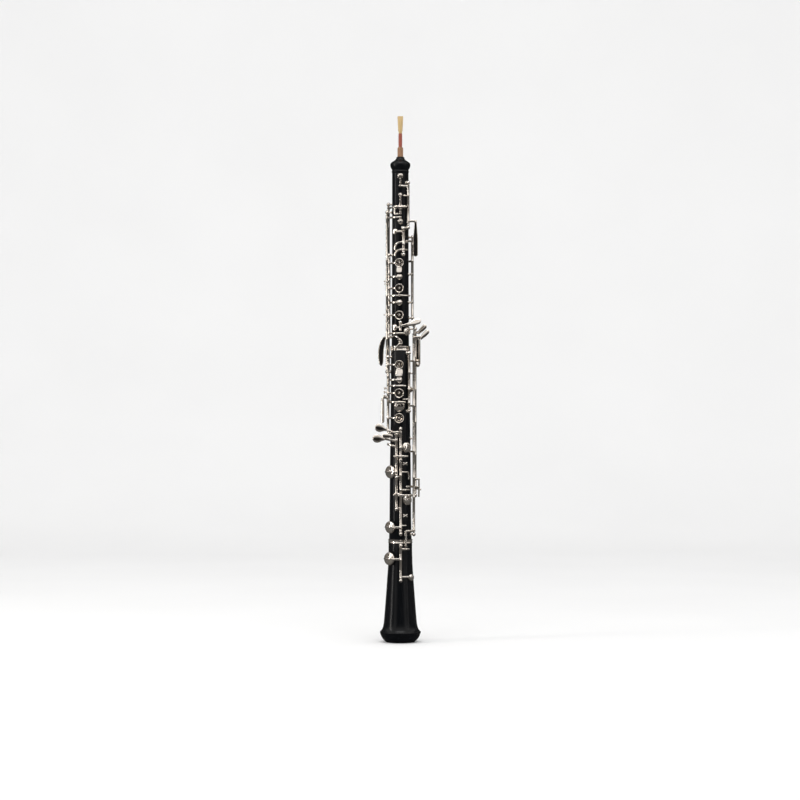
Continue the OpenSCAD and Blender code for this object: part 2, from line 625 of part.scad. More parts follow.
f_resonance_cup = [72, f_resonance_z, vent_r];
module f_resonance_key() color("silver") key(resonance_line, f_resonance_tube, [f_resonance_cup]) {
    low_arm(resonance_line, f_resonance_z, 72);
    low_arm(resonance_line, 298, 14);
    cup(f_resonance_cup[0], f_resonance_cup[1], f_resonance_cup[2]);
}
module f_resonance_pad() pad(f_resonance_cup[0], f_resonance_cup[1], f_resonance_cup[2]);

e_flat_cup = [33, e_flat_z, side_cup_r];
module e_flat_key() color("silver") key(front_line, e_flat_tube, [e_flat_cup]) {
    low_arm(front_line, 239, 33);
    arm(front_line, 228.3, 28, 17.6);
    cup(e_flat_cup[0], e_flat_cup[1], e_flat_cup[2]);
    arm(front_line, 257.8, -34, 20.6);
    level_bar(spot(-32, 21.3), [-24, -17], 257.8);
    touch(-25, -17, 263.8, 12, 10.4);
}
module e_flat_pad() pad(e_flat_cup[0], e_flat_cup[1], e_flat_cup[2]);

// The low C and low B cups stand open, turned outwards to the left
low_c_cup = [-52, low_c_z, big_cup_r];
module low_c_key() color("silver") swung(front_left_line, open_angle)
    key(front_left_line, low_c_tube, [low_c_cup]) {
        low_arm(front_left_line, low_c_z, -52);
        arm(front_left_line, 241, -50, 17.2);
        cup(low_c_cup[0], low_c_cup[1], low_c_cup[2]);
        level_bar(spot(front_left_line[0], front_left_line[1] + 0.6), [-25.5, -17.6], 248);
        touch(-28.4, -17.6, 250.4, 12.4, 10.4);
    }
module low_c_pad() swung(front_left_line, open_angle) pad(low_c_cup[0], low_c_cup[1], low_c_cup[2]);

c_sharp_cup = [37, c_sharp_z, side_cup_r];
module c_sharp_key() color("silver") key(front_left_line, c_sharp_tube, [c_sharp_cup]) {
    arm(front_left_line, 180.6, 38, 19.4);
    round_bore(37, 20.8, 179.1) translate([-1.3, 0, 0]) cube([2.6, 6, arm_w]);
    cup(c_sharp_cup[0], c_sharp_cup[1], c_sharp_cup[2]);
}
module c_sharp_pad() pad(c_sharp_cup[0], c_sharp_cup[1], c_sharp_cup[2]);

low_b_cup = [-52, low_b_z, low_b_cup_r];
module low_b_key() color("silver") swung(front_line, open_angle) key(front_line, low_b_tube, [low_b_cup]) {
    low_arm(front_line, low_b_z, -52);
    cup(low_b_cup[0], low_b_cup[1], low_b_cup[2]);
    arm(front_line, 187.2, 42, 16);
}
module low_b_pad() swung(front_line, open_angle) pad(low_b_cup[0], low_b_cup[1], low_b_cup[2]);

module low_b_touch() color("silver") key(b_line, low_b_touch_tube) {
    arm(b_line, 191, 30, 14.4);
    level_bar(spot(b_line[0], b_line[1]), [25, -3], 380.2);
    touch(26.9, -3, 384.1, 14, 5.8, 46);
}
module low_b_flat_touch() color("silver") key(b_flat_line, low_b_flat_touch_tube) {
    arm(b_flat_line, 137, 20, 19);
    upright(20, 19, 117.2, 138.5);
    level_bar(spot(b_flat_line[0], b_flat_line[1]), [26.6, -9.6], 374);
    touch(29.8, -9.6, 377.3, 14, 5.8, 46);
}

bell_cup = [-50, bell_cup_z, big_cup_r];
bell_vent_cup = [49, bell_vent_z, bell_vent_r];
module bell_key() color("silver") difference() {
    union() {
        swung(bell_line, open_angle) {
            round_bore(bell_line[0], bell_line[1], bell_tube[0])
                cylinder(r = tube_r, h = bell_tube[1] - bell_tube[0]);
            low_arm(bell_line, 101.7, -50);
            cup(bell_cup[0], bell_cup[1], bell_cup[2]);
            arm(bell_line, 114.8, 34, 18.4);
        }
        low_arm(bell_line, 80.8, 49);
        cup(bell_vent_cup[0], bell_vent_cup[1], bell_vent_cup[2]);
    }
    round_bore(bell_line[0], bell_line[1], 70) cylinder(r = rod_r + rod_gap, h = 60);
    swung(bell_line, open_angle) recess(bell_cup);
    recess(bell_vent_cup);
}
module bell_pads() {
    swung(bell_line, open_angle) pad(bell_cup[0], bell_cup[1], bell_cup[2]);
    pad(bell_vent_cup[0], bell_vent_cup[1], bell_vent_cup[2]);
}

upper_joint();
lower_joint();
bell();
tenon_corks();
middle_socket_ring();
bell_socket_ring();
posts();
hinge_rods();
thumb_rest();
thumb_rest_screws();
lever_saddle();
key_guides();
reed_staple();
staple_cork();
reed_thread();
reed_blades();
side_octave_key();
side_octave_pad();
thumb_octave_key();
first_octave_key();
first_octave_pad();
c_trill_key();
c_trill_lever();
c_trill_pad();
d_trill_key();
d_trill_pad();
half_hole_key();
half_hole_pad();
b_vent_key();
b_vent_pad();
b_key();
b_pad();
a_vent_key();
a_vent_pad();
g_key();
g_pads();
g_sharp_key();
g_sharp_pad();
f_sharp_key();
f_sharp_pad();
f_vent_key();
f_vent_pad();
e_key();
e_pad();
d_key();
d_pads();
f_resonance_key();
f_resonance_pad();
e_flat_key();
e_flat_pad();
low_c_key();
low_c_pad();
c_sharp_key();
c_sharp_pad();
low_b_key();
low_b_pad();
low_b_touch();
low_b_flat_touch();
bell_key();
bell_pads();
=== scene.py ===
import json
import math

import bmesh
import bpy
from mathutils import Matrix, Vector


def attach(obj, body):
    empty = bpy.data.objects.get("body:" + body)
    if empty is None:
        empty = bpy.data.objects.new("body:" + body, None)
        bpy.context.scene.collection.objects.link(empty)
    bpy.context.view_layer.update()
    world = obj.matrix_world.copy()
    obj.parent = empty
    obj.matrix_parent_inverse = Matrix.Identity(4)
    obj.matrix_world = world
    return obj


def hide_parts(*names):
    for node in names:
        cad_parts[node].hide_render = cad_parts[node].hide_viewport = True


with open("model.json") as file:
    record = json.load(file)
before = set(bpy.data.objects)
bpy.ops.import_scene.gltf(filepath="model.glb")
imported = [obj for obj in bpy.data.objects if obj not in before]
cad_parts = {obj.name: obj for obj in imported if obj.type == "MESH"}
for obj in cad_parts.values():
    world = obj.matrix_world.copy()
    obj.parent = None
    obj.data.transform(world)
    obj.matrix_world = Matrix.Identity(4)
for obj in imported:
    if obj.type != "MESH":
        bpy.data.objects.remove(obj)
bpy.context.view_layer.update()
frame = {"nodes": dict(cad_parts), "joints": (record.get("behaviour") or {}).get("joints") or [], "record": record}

MM = 0.001


# ---- Node helpers for materials ----

def node_material(name):
    """An empty node material with its Principled shader: returns material, nodes, links, shader."""
    material = bpy.data.materials.new(name)
    material.use_nodes = True
    tree = material.node_tree
    shader = tree.nodes["Principled BSDF"]
    return material, tree.nodes, tree.links, shader


def noise_field(nodes, links, scale, detail=4.0, stretch=(1, 1, 1)):
    """Noise in object space, stretched along the axes. Scale is per metre."""
    place = nodes.new("ShaderNodeTexCoord")
    mapping = nodes.new("ShaderNodeMapping")
    mapping.inputs["Scale"].default_value = stretch
    field = nodes.new("ShaderNodeTexNoise")
    field.inputs["Scale"].default_value = scale
    field.inputs["Detail"].default_value = detail
    links.new(place.outputs["Object"], mapping.inputs["Vector"])
    links.new(mapping.outputs["Vector"], field.inputs["Vector"])
    return field.outputs["Fac"]


def ramp(nodes, links, source, stops):
    """Colour ramp fed by source, with stops as (place, colour)."""
    node = nodes.new("ShaderNodeValToRGB")
    while len(node.color_ramp.elements) < len(stops):
        node.color_ramp.elements.new(0.5)
    for element, (place, colour) in zip(node.color_ramp.elements, stops):
        element.position = place
        element.color = (*colour, 1)
    links.new(source, node.inputs["Fac"])
    return node.outputs["Color"]


def spread(nodes, links, source, low, high):
    """Maps source from 0..1 to low..high."""
    node = nodes.new("ShaderNodeMapRange")
    node.inputs["To Min"].default_value = low
    node.inputs["To Max"].default_value = high
    links.new(source, node.inputs["Value"])
    return node.outputs["Result"]


def painted(nodes, links, source, stops, shader):
    """Base colour from a colour ramp fed by source."""
    links.new(ramp(nodes, links, source, stops), shader.inputs["Base Color"])


def bumped(nodes, links, source, strength, distance, shader):
    """Bump from source into the shader's normal."""
    node = nodes.new("ShaderNodeBump")
    node.inputs["Strength"].default_value = strength
    node.inputs["Distance"].default_value = distance
    links.new(source, node.inputs["Height"])
    links.new(node.outputs["Normal"], shader.inputs["Normal"])


# ---- Materials ----

def blackwood():
    """Polished African blackwood: nearly black, faintly blue, with fine close grain along the bore."""
    material, nodes, links, shader = node_material("blackwood")
    grain = noise_field(nodes, links, 900, 6, (1, 1, 0.035))
    broad = noise_field(nodes, links, 60, 3, (1, 1, 0.12))
    mixed = nodes.new("ShaderNodeMath")
    mixed.operation = "MULTIPLY"
    links.new(grain, mixed.inputs[0])
    links.new(broad, mixed.inputs[1])
    painted(nodes, links, mixed.outputs[0], [(0.1, (0.0016, 0.0021, 0.0030)),
        (0.28, (0.0028, 0.0034, 0.0046)), (0.45, (0.0065, 0.0062, 0.0070))], shader)
    rough = spread(nodes, links, grain, 0.17, 0.3)
    links.new(rough, shader.inputs["Roughness"])
    shader.inputs["Specular IOR Level"].default_value = 0.2
    bumped(nodes, links, grain, 0.1, 0.00006, shader)
    return material


def silver_plate(name="silver_plate", rough=(0.04, 0.12), tone=(0.89, 0.85, 0.8)):
    """Silver plate with faint tarnish in soft patches and fine polishing marks."""
    material, nodes, links, shader = node_material(name)
    patches = noise_field(nodes, links, 140, 5)
    marks = noise_field(nodes, links, 2600, 3, (1, 1, 0.2))
    dark = tuple(c * k for c, k in zip(tone, (0.86, 0.83, 0.79)))
    painted(nodes, links, patches, [(0.3, dark), (0.62, tone)], shader)
    shader.inputs["Metallic"].default_value = 1
    roughness = spread(nodes, links, patches, rough[1], rough[0])
    links.new(roughness, shader.inputs["Roughness"])
    bumped(nodes, links, marks, 0.05, 0.00002, shader)
    return material


def matt(name, noise, stops, roughness, bump, depth):
    """Dull material whose colour and bump follow one noise field."""
    material, nodes, links, shader = node_material(name)
    field = noise_field(nodes, links, *noise)
    painted(nodes, links, field, stops, shader)
    shader.inputs["Roughness"].default_value = roughness
    bumped(nodes, links, field, bump, depth, shader)
    return material, shader


def cork():
    """Cork with darker flecks and small open cells."""
    stops = [(0.3, (0.15, 0.07, 0.035)), (0.45, (0.26, 0.14, 0.075)), (0.7, (0.33, 0.19, 0.108))]
    material, nodes, links, shader = node_material("cork")
    field = noise_field(nodes, links, 900, 6)
    painted(nodes, links, field, stops, shader)
    shader.inputs["Roughness"].default_value = 0.85
    place = nodes.new("ShaderNodeTexCoord")
    cells = nodes.new("ShaderNodeTexVoronoi")
    cells.inputs["Scale"].default_value = 1400
    links.new(place.outputs["Object"], cells.inputs["Vector"])
    bumped(nodes, links, cells.outputs["Distance"], 0.5, 0.0002, shader)
    return material


def cane():
    """Scraped cane: straw colour with fine fibres that run up the blade."""
    stops = [(0.3, (0.40, 0.26, 0.10)), (0.5, (0.51, 0.36, 0.165)), (0.75, (0.57, 0.42, 0.21))]
    material, shader = matt("cane", (1800, 5, (1, 1, 0.03)), stops, 0.5, 0.3, 0.0001)
    shader.inputs["Subsurface Weight"].default_value = 0.12
    shader.inputs["Subsurface Radius"].default_value = (0.002, 0.001, 0.0005)
    return material


def thread():
    """Dull red thread with a soft fuzz."""
    stops = [(0.3, (0.22, 0.04, 0.022)), (0.6, (0.37, 0.085, 0.05)), (0.8, (0.46, 0.13, 0.085))]
    material, shader = matt("thread", (2500, 5), stops, 0.75, 0.4, 0.0001)
    shader.inputs["Sheen Weight"].default_value = 0.4
    return material


def pad_skin():
    """Skin over the felt of the pads."""
    stops = [(0.3, (0.50, 0.38, 0.24)), (0.7, (0.68, 0.56, 0.40))]
    return matt("pad_skin", (1200, 4), stops, 0.55, 0.25, 0.0001)[0]


MATERIALS = {
    "blackwood": blackwood(),
    "silver": silver_plate(),
    "steel": silver_plate("steel_rod", (0.18, 0.34), (0.62, 0.61, 0.60)),
    "cork": cork(),
    "pad": pad_skin(),
    "staple": silver_plate("staple_brass", (0.2, 0.35), (0.78, 0.58, 0.28)),
    "thread": thread(),
    "cane": cane(),
}

# CAD nodes take the material of their slot
slots = {part["node"]: part["material_slot"] for part in frame["record"]["subparts"]}
for node_name, node_object in frame["nodes"].items():
    for place in range(max(1, len(node_object.material_slots))):
        if not node_object.material_slots:
            node_object.data.materials.append(None)
        node_object.material_slots[place].material = MATERIALS[slots[node_name]]


# ---- Mesh helpers: everything is built in millimetres and scaled at the end ----

# Height and radius of the wood, from the bell's neck to the foot of the head
WOOD_OUTLINE = [(60, 17.4), (74, 16.4), (78, 16.1), (94, 15.1), (112, 14.5), (121.5, 14.5), (126.2, 13.9),
    (150, 13.3), (175, 13.1), (210, 12.9), (245, 12.4), (280, 12), (320, 11.7), (357.7, 11.6),
    (363.4, 10.7), (420, 10.4), (480, 10.2), (576, 10.1)]
SEAT_RISE = 0.3  # tone hole seat above the wood
CUP_LIFT = 0.7  # cup's rim above the seat
CUP_TALL = 2.75
TUBE_R = 1.7
TUBE_BORE_R = 1.0
ARM_RISE = 1.6  # underside of a low arm above the wood
ARM_THICK = 1.5
OPEN = 8  # degrees that open-standing keys stand away
BELL_JOIN = 124  # heights of the two joins of the body
MIDDLE_JOIN = 360
FRONT = (0, -1, 0)
BACK = (0, 1, 0)
UP = (0, 0, 1)

# Angle round the bore, height and radius of every cup and finger plate
CUPS = {
    "side_octave_key": (0, 571.7, 3.5),
    "c_trill_lever": (0, 548.5, 2.5),
    "d_trill_key": (0, 515.8, 3.3),
    "first_octave_key": (-35, 503.6, 3.7),
    "half_hole_key": (0, 465, 5.6),
    "b_vent_key": (0, 448, 3.7),
    "b_key": (0, 434, 5.6),
    "a_vent_key": (0, 416.5, 3.7),
    "g_key": (0, 401, 5.6),
    "g_key_side": (48, 381, 5),
    "g_sharp_key": (-37, 386, 4.2),
    "f_sharp_key": (0, 340.3, 5.6),
    "f_vent_key": (0, 321.8, 3.7),
    "e_key": (0, 305.5, 5.9),
    "d_key_vent": (0, 289.8, 6.6),
    "d_key": (0, 275, 6.1),
    "f_resonance_key": (72, 310, 3.7),
    "e_flat_key": (33, 239, 6.2),
    "low_c_key": (-52, 209, 8),
    "c_sharp_key": (37, 174.5, 6.2),
    "low_b_key": (-52, 141.3, 7.5),
    "bell_key": (-50, 102.8, 8),
    "bell_key_vent": (49, 79.8, 4.3),
}


def wood_r(z):
    """Radius of the wood at the height z."""
    for (z0, r0), (z1, r1) in zip(WOOD_OUTLINE, WOOD_OUTLINE[1:]):
        if z <= z1:
            return r0 + (r1 - r0) * (z - z0) / (z1 - z0)
    return WOOD_OUTLINE[-1][1]


def spot(angle, r, z=0.0):
    """Point at an angle round the bore (0 at the front, positive to the right), a radius and a height."""
    a = math.radians(angle)
    return Vector((r * math.sin(a), -r * math.cos(a), z))


def turned(angle, axis="Z"):
    return Matrix.Rotation(math.radians(angle), 4, axis)


def at(*place):
    return Matrix.Translation(place)


def outwards(angle, z, r=0.0):
    """Matrix whose local Z points away from the bore."""
    return turned(angle) @ at(0, -r, z) @ turned(90, "X")


def extent(points, axis):
    """Lowest and highest value of points along an axis."""
    values = [p[axis] for p in points]
    return min(values), max(values)


def taper(start, end):
    """Width that changes evenly from one end of a bar to the other."""
    return lambda t: start + (end - start) * t


def skin(mesh, rings, loop=False, caps=True):
    """Faces between rings of equal length. A loop joins the last ring to the first."""
    rows = [[mesh.verts.new(p) for p in ring] for ring in rings]
    count = len(rows[0])
    pairs = list(zip(rows, rows[1:])) + ([(rows[-1], rows[0])] if loop else [])
    for low, high in pairs:
        for i in range(count):
            j = (i + 1) % count
            mesh.faces.new((low[i], low[j], high[j], high[i]))
    if caps and not loop:
        mesh.faces.new(list(reversed(rows[0])))
        mesh.faces.new(rows[-1])


def arc_points(r, start, end, steps, h=0.0):
    """Points (r cos, h + r sin) from one angle to another."""
    angles = [math.radians(start + (end - start) * i / steps) for i in range(steps + 1)]
    return [(r * math.cos(a), h + r * math.sin(a)) for a in angles]


def circle_points(r, h, count):
    angles = [2 * math.pi * i / count for i in range(count)]
    return [Vector((r * math.cos(a), r * math.sin(a), h)) for a in angles]


def lathe(mesh, profile, place=None, count=48, loop=False):
    """Turns (radius, height) points about the local Z of place."""
    place = place or Matrix.Identity(4)
    rings = [[place @ p for p in circle_points(max(r, 0.02), h, count)] for r, h in profile]
    skin(mesh, rings, loop=loop)


def rounded(profile, radius=0.25, steps=3):
    """Rounds the inner corners of an open (radius, height) profile."""
    points = [Vector(p) for p in profile]
    result = [points[0]]
    for before, corner, after in zip(points, points[1:], points[2:]):
        near = min(radius, (before - corner).length * 0.45)
        far = min(radius, (after - corner).length * 0.45)
        start = corner + (before - corner).normalized() * near
        end = corner + (after - corner).normalized() * far
        for i in range(steps + 1):
            t = i / steps
            result.append(start * (1 - t) ** 2 + corner * 2 * t * (1 - t) + end * t * t)
    return [tuple(p) for p in result + [points[-1]]]


def round_path(r, *pairs):
    """Points at one radius, as (angle, height)."""
    return [spot(angle, r, z) for angle, z in pairs]


def smooth_path(points, steps=6):
    """Catmull-Rom curve through the points."""
    pts = [Vector(p) for p in points]
    if len(pts) < 3:
        return [pts[0].lerp(pts[-1], i / steps) for i in range(steps + 1)]
    ends = [pts[0] * 2 - pts[1]] + pts + [pts[-1] * 2 - pts[-2]]
    result = []
    for p0, p1, p2, p3 in zip(ends, ends[1:], ends[2:], ends[3:]):
        for i in range(steps):
            t = i / steps
            result.append(0.5 * (2 * p1 + (p2 - p0) * t + (2 * p0 - 5 * p1 + 4 * p2 - p3) * t * t
                + (3 * p1 - p0 - 3 * p2 + p3) * t ** 3))
    return result + [pts[-1]]


def sweep(mesh, path, width, thick, facing=None, power=2.6, sides=16, end_round=0.5):
    """Bar of rounded section along a path. Width and thick are functions of 0..1 or numbers."""
    wide = width if callable(width) else lambda t: width
    deep = thick if callable(thick) else lambda t: thick
    last = len(path) - 1
    rings = []

    def section(index, shrink, shift):
        point = path[index]
        ahead = path[min(index + 1, last)] - path[max(index - 1, 0)]
        ahead.normalize()
        out = Vector(facing) if facing is not None else Vector((point.x, point.y, 0))
        out = (out - ahead * out.dot(ahead)).normalized()
        across = ahead.cross(out)
        t = index / last
        ring = []
        for i in range(sides):
            a = 2 * math.pi * i / sides
            c, s = math.cos(a), math.sin(a)
            x = math.copysign(abs(c) ** (2 / power), c) * wide(t) / 2 * shrink
            y = math.copysign(abs(s) ** (2 / power), s) * deep(t) / 2 * (0.35 + 0.65 * shrink)
            ring.append(point + ahead * shift + across * x + out * y)
        return ring

    reach = end_round * deep(0)
    for angle in (80, 50, 22):
        a = math.radians(angle)
        rings.append(section(0, math.cos(a), -reach * math.sin(a)))
    for index in range(last + 1):
        rings.append(section(index, 1, 0))
    for angle in (22, 50, 80):
        a = math.radians(angle)
        rings.append(section(last, math.cos(a), reach * math.sin(a)))
    skin(mesh, rings)


def piece(name, mesh, slot, body, node=None, turn=None, smooth_angle=40):
    """Finishes a mesh as a piece that rides on a body and stands for a CAD node."""
    if turn is not None:
        bmesh.ops.transform(mesh, matrix=turn, verts=mesh.verts)
    bmesh.ops.scale(mesh, vec=(MM, MM, MM), verts=mesh.verts)
    bmesh.ops.recalc_face_normals(mesh, faces=mesh.faces)
    data = bpy.data.meshes.new(name)
    mesh.to_mesh(data)
    mesh.free()
    data.polygons.foreach_set("use_smooth", [True] * len(data.polygons))
    data.set_sharp_from_angle(angle=math.radians(smooth_angle))
    data.materials.append(MATERIALS[slot])
    holder = bpy.data.objects.new(name, data)
    bpy.context.scene.collection.objects.link(holder)
    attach(holder, body)
    if node:
        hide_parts(node)
    return holder


# ---- Parts of the keywork ----

HINGES = {joint["child"]: joint for joint in frame["joints"]}


def hinge_line(body):
    """Angle and distance from the bore of a key's hinge, from the frame."""
    x, y = HINGES[body]["pos_m"][0] / MM, HINGES[body]["pos_m"][1] / MM
    return math.degrees(math.atan2(x, -y)), math.hypot(x, y)


def swung(line, angle):
    """Turn about a hinge line, as the CAD keys stand at rest."""
    centre = spot(*line)
    return at(*centre) @ turned(angle) @ at(*-centre)


def seat(z, r):
    return wood_r(z - r) + SEAT_RISE


def key_tube(mesh, line, foot, top, collars=()):
    """Hollow tube with turned end beads and extra collars at the given heights."""
    shank = TUBE_R - 0.05
    edge = TUBE_R - 0.15
    bead = TUBE_R + 0.12
    collar = TUBE_R + 0.14
    length = top - foot
    profile = [(TUBE_BORE_R, 0), (edge, 0), (bead, 0.25), (bead, 0.8), (shank, 1.1)]
    for z in sorted(collars):
        h = z - foot
        profile += [(shank, h - 0.9), (collar, h - 0.6), (collar, h + 0.6), (shank, h + 0.9)]
    profile += [(shank, length - 1.1), (bead, length - 0.8), (bead, length - 0.25), (edge, length),
        (TUBE_BORE_R, length)]
    lathe(mesh, profile, at(*spot(*line, foot)), 40, loop=True)


def arc(line, z, angle, r, steps=14):
    """Path round the bore from a hinge line to an angle. It leaves the tube and settles at radius r."""
    path = []
    for i in range(steps + 1):
        t = i / steps
        ease = min(1, t * 3.2)
        ease = ease * ease * (3 - 2 * ease)
        path.append(spot(line[0] + (angle - line[0]) * t, line[1] + (r - line[1]) * ease, z))
    return path


def low_r(z):
    """Radius of the middle of a bar that lies low over the wood."""
    return wood_r(z) + ARM_RISE + ARM_THICK / 2


def key_arm(mesh, line, z, angle, r=None, width=3.0, tip=0.7):
    """Arm that is broad at its tube and narrows towards its tip. Its underside lies at r."""
    path_r = low_r(z) if r is None else r + ARM_THICK / 2
    sweep(mesh, arc(line, z, angle, path_r), taper(width, width * tip),
        taper(ARM_THICK * 1.15, ARM_THICK))


def cup_shape(mesh, angle, z, r):
    """Domed cup with a beaded rim and a raised disc, hollow beneath for its pad."""
    outer = rounded([(0.1, CUP_TALL), (r * 0.34, CUP_TALL - 0.03), (r * 0.36, 2.5), (r * 0.62, 2.38),
        (r - 1, 2.05), (r - 0.25, 1.3), (r - 0.2, 0.55), (r, 0.45), (r, 0.02)], 0.22)
    profile = outer + [(r - 0.6, 0.02), (r - 0.6, 1.28), (0.1, 1.28)]
    lathe(mesh, profile, outwards(angle, z, seat(z, r) + CUP_LIFT), 56)


def cup(mesh, name):
    cup_shape(mesh, *CUPS[name])


def crossed_cup(mesh, line, name, z_line=None):
    """Cup under an arm that climbs from its tube and crosses the cup to its far edge."""
    angle, z, r = CUPS[name]
    place = outwards(angle, z)
    turn = math.radians(line[0] - angle)
    x, h = line[1] * math.sin(turn), line[1] * math.cos(turn)
    top = seat(z, r) + CUP_LIFT + CUP_TALL
    lift = (z_line or z) - z
    points = [(x, lift, h + 0.9), (x * 0.5 + r * 0.45, lift * 0.5, (h + top) / 2 + 0.9),
        (r * 0.5, 0, top + 0.15), (0, 0, top + 0.35), (-r * 0.45, 0, top + 0.1), (0.9 - r, 0, top - 0.9)]
    bar(mesh, [place @ Vector(p) for p in points], taper(2.9, 1.7), 1.3)
    cup_shape(mesh, angle, z, r)


def plate_shape(mesh, angle, z, r, inner_ring=False):
    """Finger plate: bright rolled rim, flat floor and a small hole in a raised boss."""
    floor_h = 1.95
    flat = [(0.75, 1.4), (0.75, 2.1), (1.25, 2.1), (1.4, floor_h + 0.02), (1.5, floor_h), (1.7, floor_h)]
    if inner_ring:
        ring_h = floor_h + 0.25
        flat += [(r * 0.5, floor_h), (r * 0.53, ring_h), (r * 0.58, ring_h), (r * 0.61, floor_h)]
    flat += [(r - 1.3, floor_h), (r - 1.1, floor_h), (r - 1, floor_h + 0.06)]
    rim = [(r - 0.95, floor_h + 0.1), (r - 0.8, 2.5), (r - 0.5, 2.7), (r - 0.1, 2.35), (r, 1.2), (r, 0.02)]
    profile = flat + rounded(rim, 0.22) + [(r - 0.6, 0.02), (r - 0.6, 1.28), (0.75, 1.28)]
    lathe(mesh, profile, outwards(angle, z, seat(z, r) + CUP_LIFT), 64, loop=True)


def leaf(mesh, start, end, width, thick=1.7, facing=FRONT, bulge=0.0, waist=0.6, flatness=2.2):
    """Touch that is narrow at its arm, and broad and round at its tip. Flatness above 2 squares it."""
    start, end = Vector(start), Vector(end)
    out = Vector(facing).normalized()
    steps = 26
    tip_from = 1 - min(0.5, width / 2 / (end - start).length)

    def along(u):
        return 1 - (1 - u) ** 2

    path = []
    for i in range(steps + 1):
        t = along(i / steps)
        path.append(start.lerp(end, t) + out * bulge * math.sin(math.pi * t))

    def rounding(u):
        return math.sqrt(max(0.0, 1 - max(0, (along(u) - tip_from) / (1.002 - tip_from)) ** 2))

    def wide(u):
        swell = waist + (1 - waist) * math.sin(min(1, along(u) * 1.7) * math.pi / 2) ** 2
        return width * swell * rounding(u)

    def deep(u):
        return thick * (0.15 + 0.85 * min(1, 1.6 * rounding(u)))

    sweep(mesh, path, wide, deep, facing=out, power=flatness, sides=24, end_round=0.1)


def bar(mesh, points, width, thick=1.4, facing=None, steps=6):
    sweep(mesh, smooth_path(points, steps), width, thick, facing=facing)


def new_key(body, foot, top, collars=()):
    mesh = bmesh.new()
    line = hinge_line(body)
    key_tube(mesh, line, foot, top, collars)
    return mesh, line


def ball(mesh, centre, r):
    lathe(mesh, arc_points(r, -90, 90, 12), at(*centre), 24)


def knob(mesh, start, end, r):
    """Small turned screw head on a stalk, from start to end."""
    along = Vector(end) - Vector(start)
    length = along.length
    place = at(*start) @ along.to_track_quat("Z", "Y").to_matrix().to_4x4()
    profile = [(0.05, 0), (r * 0.55, 0), (r * 0.55, length - r * 1.3), (r, length - r * 1.2),
        (r, length - 0.2), (r * 0.7, length), (0.05, length)]
    lathe(mesh, rounded(profile, 0.15), place, 24)


def lug(mesh, line, z, reach, angle, width):
    """Short adjusting lug on a tube with a screw through its end."""
    start = spot(*line, z)
    way = spot(angle, 1)
    end = start + way * reach
    bar(mesh, [start + way * 0.9, start + way * reach * 0.6, end], width, 1.5, UP)
    knob(mesh, end + Vector((0, 0, -1.5)), end + Vector((0, 0, 1.7)), 1.15)


def finish_key(mesh, name, opened=0):
    """Key as one piece that rides on the body of its own name, swung from closed to its rest."""
    turn = swung(hinge_line(name), opened) if opened else None
    piece(name + "_cast", mesh, "silver", name, name, turn)


# ---- Keys of the upper joint ----


def side_octave_key():
    mesh, line = new_key("side_octave_key", 511.1, 560.9, [516, 547.5])
    key_arm(mesh, line, 559.3, -4, width=3, tip=0.75)
    r = wood_r(560) + ARM_RISE + 0.8
    bar(mesh, [spot(0, r, 558.5), spot(0, r, 565), spot(0, r + 0.6, 571.7)], 1.9, 1.4)
    cup(mesh, "side_octave_key")
    key_arm(mesh, line, 547.4, 23, width=2.2)
    ball(mesh, spot(23, wood_r(547) + 2.6, 547.4), 1.5)
    bar(mesh, [spot(line[0], line[1] - 0.2, 516), (14.6, -10, 516.6), (18.4, -9.6, 516)], 3, 1.3, FRONT)
    leaf(mesh, (18.7, -9.5, 517.6), (18.7, -9.5, 473.2), 5.7, 1.6, (0.04, -1, 0), 0, 0.5, 5)
    finish_key(mesh, "side_octave_key")


def thumb_octave_key():
    mesh, line = new_key("thumb_octave_key", 400.6, 494.4, [468, 488])
    key_arm(mesh, line, 492.2, 34)
    key_arm(mesh, line, 468, 150, 12.5)
    dish = [(0.1, 1.2), (2.5, 1.3), (5.4, 1.75), (6.2, 1.3), (6.2, 0.3), (5.6, 0), (0.1, 0)]
    lathe(mesh, rounded(dish, 0.3), outwards(168, 468, 12.5), 48)
    finish_key(mesh, "thumb_octave_key")


def first_octave_key():
    mesh, line = new_key("first_octave_key", 478.1, 504.9, [481, 488])
    key_arm(mesh, line, 503.3, -33)
    r = low_r(485)
    for high, low in ((490.4, 481.2), (481.2, 474.2)):
        path = [spot(46, r, high), spot(30, r + 0.5, high), spot(*line, high), spot(2, r + 0.3, high - 0.1),
            spot(-14, r, high - 1), spot(-26, r, high - 3.4), spot(-33, r, low)]
        bar(mesh, path, lambda t: 2.1 + 1.3 * t * t, 1.4)
    cup(mesh, "first_octave_key")
    finish_key(mesh, "first_octave_key")


def c_trill_key():
    mesh, line = new_key("c_trill_key", 298.6, 535.4, [345, 400, 455, 510])
    r = low_r(530)
    key_arm(mesh, line, 533.3, -37, width=2.8)
    path = round_path(r, (-36, 534.2), (-34.6, 531), (-34.6, 527.5), (-32, 525.2), (-24, 525.1),
        (-13, 525.1))
    bar(mesh, path, 2.5, 1.4)
    bar(mesh, [spot(*line, 300.1), (-19, 4.8, 300.2), (-21.6, 3, 299.4), (-21.6, 3, 296)], 2.8, 1.4,
        (-0.3, -1, 0))
    leaf(mesh, (-21.8, 3, 298), (-21.8, 3, 269), 4.6, 1.7, (-0.5, -1, 0), 0, 0.9)
    finish_key(mesh, "c_trill_key")


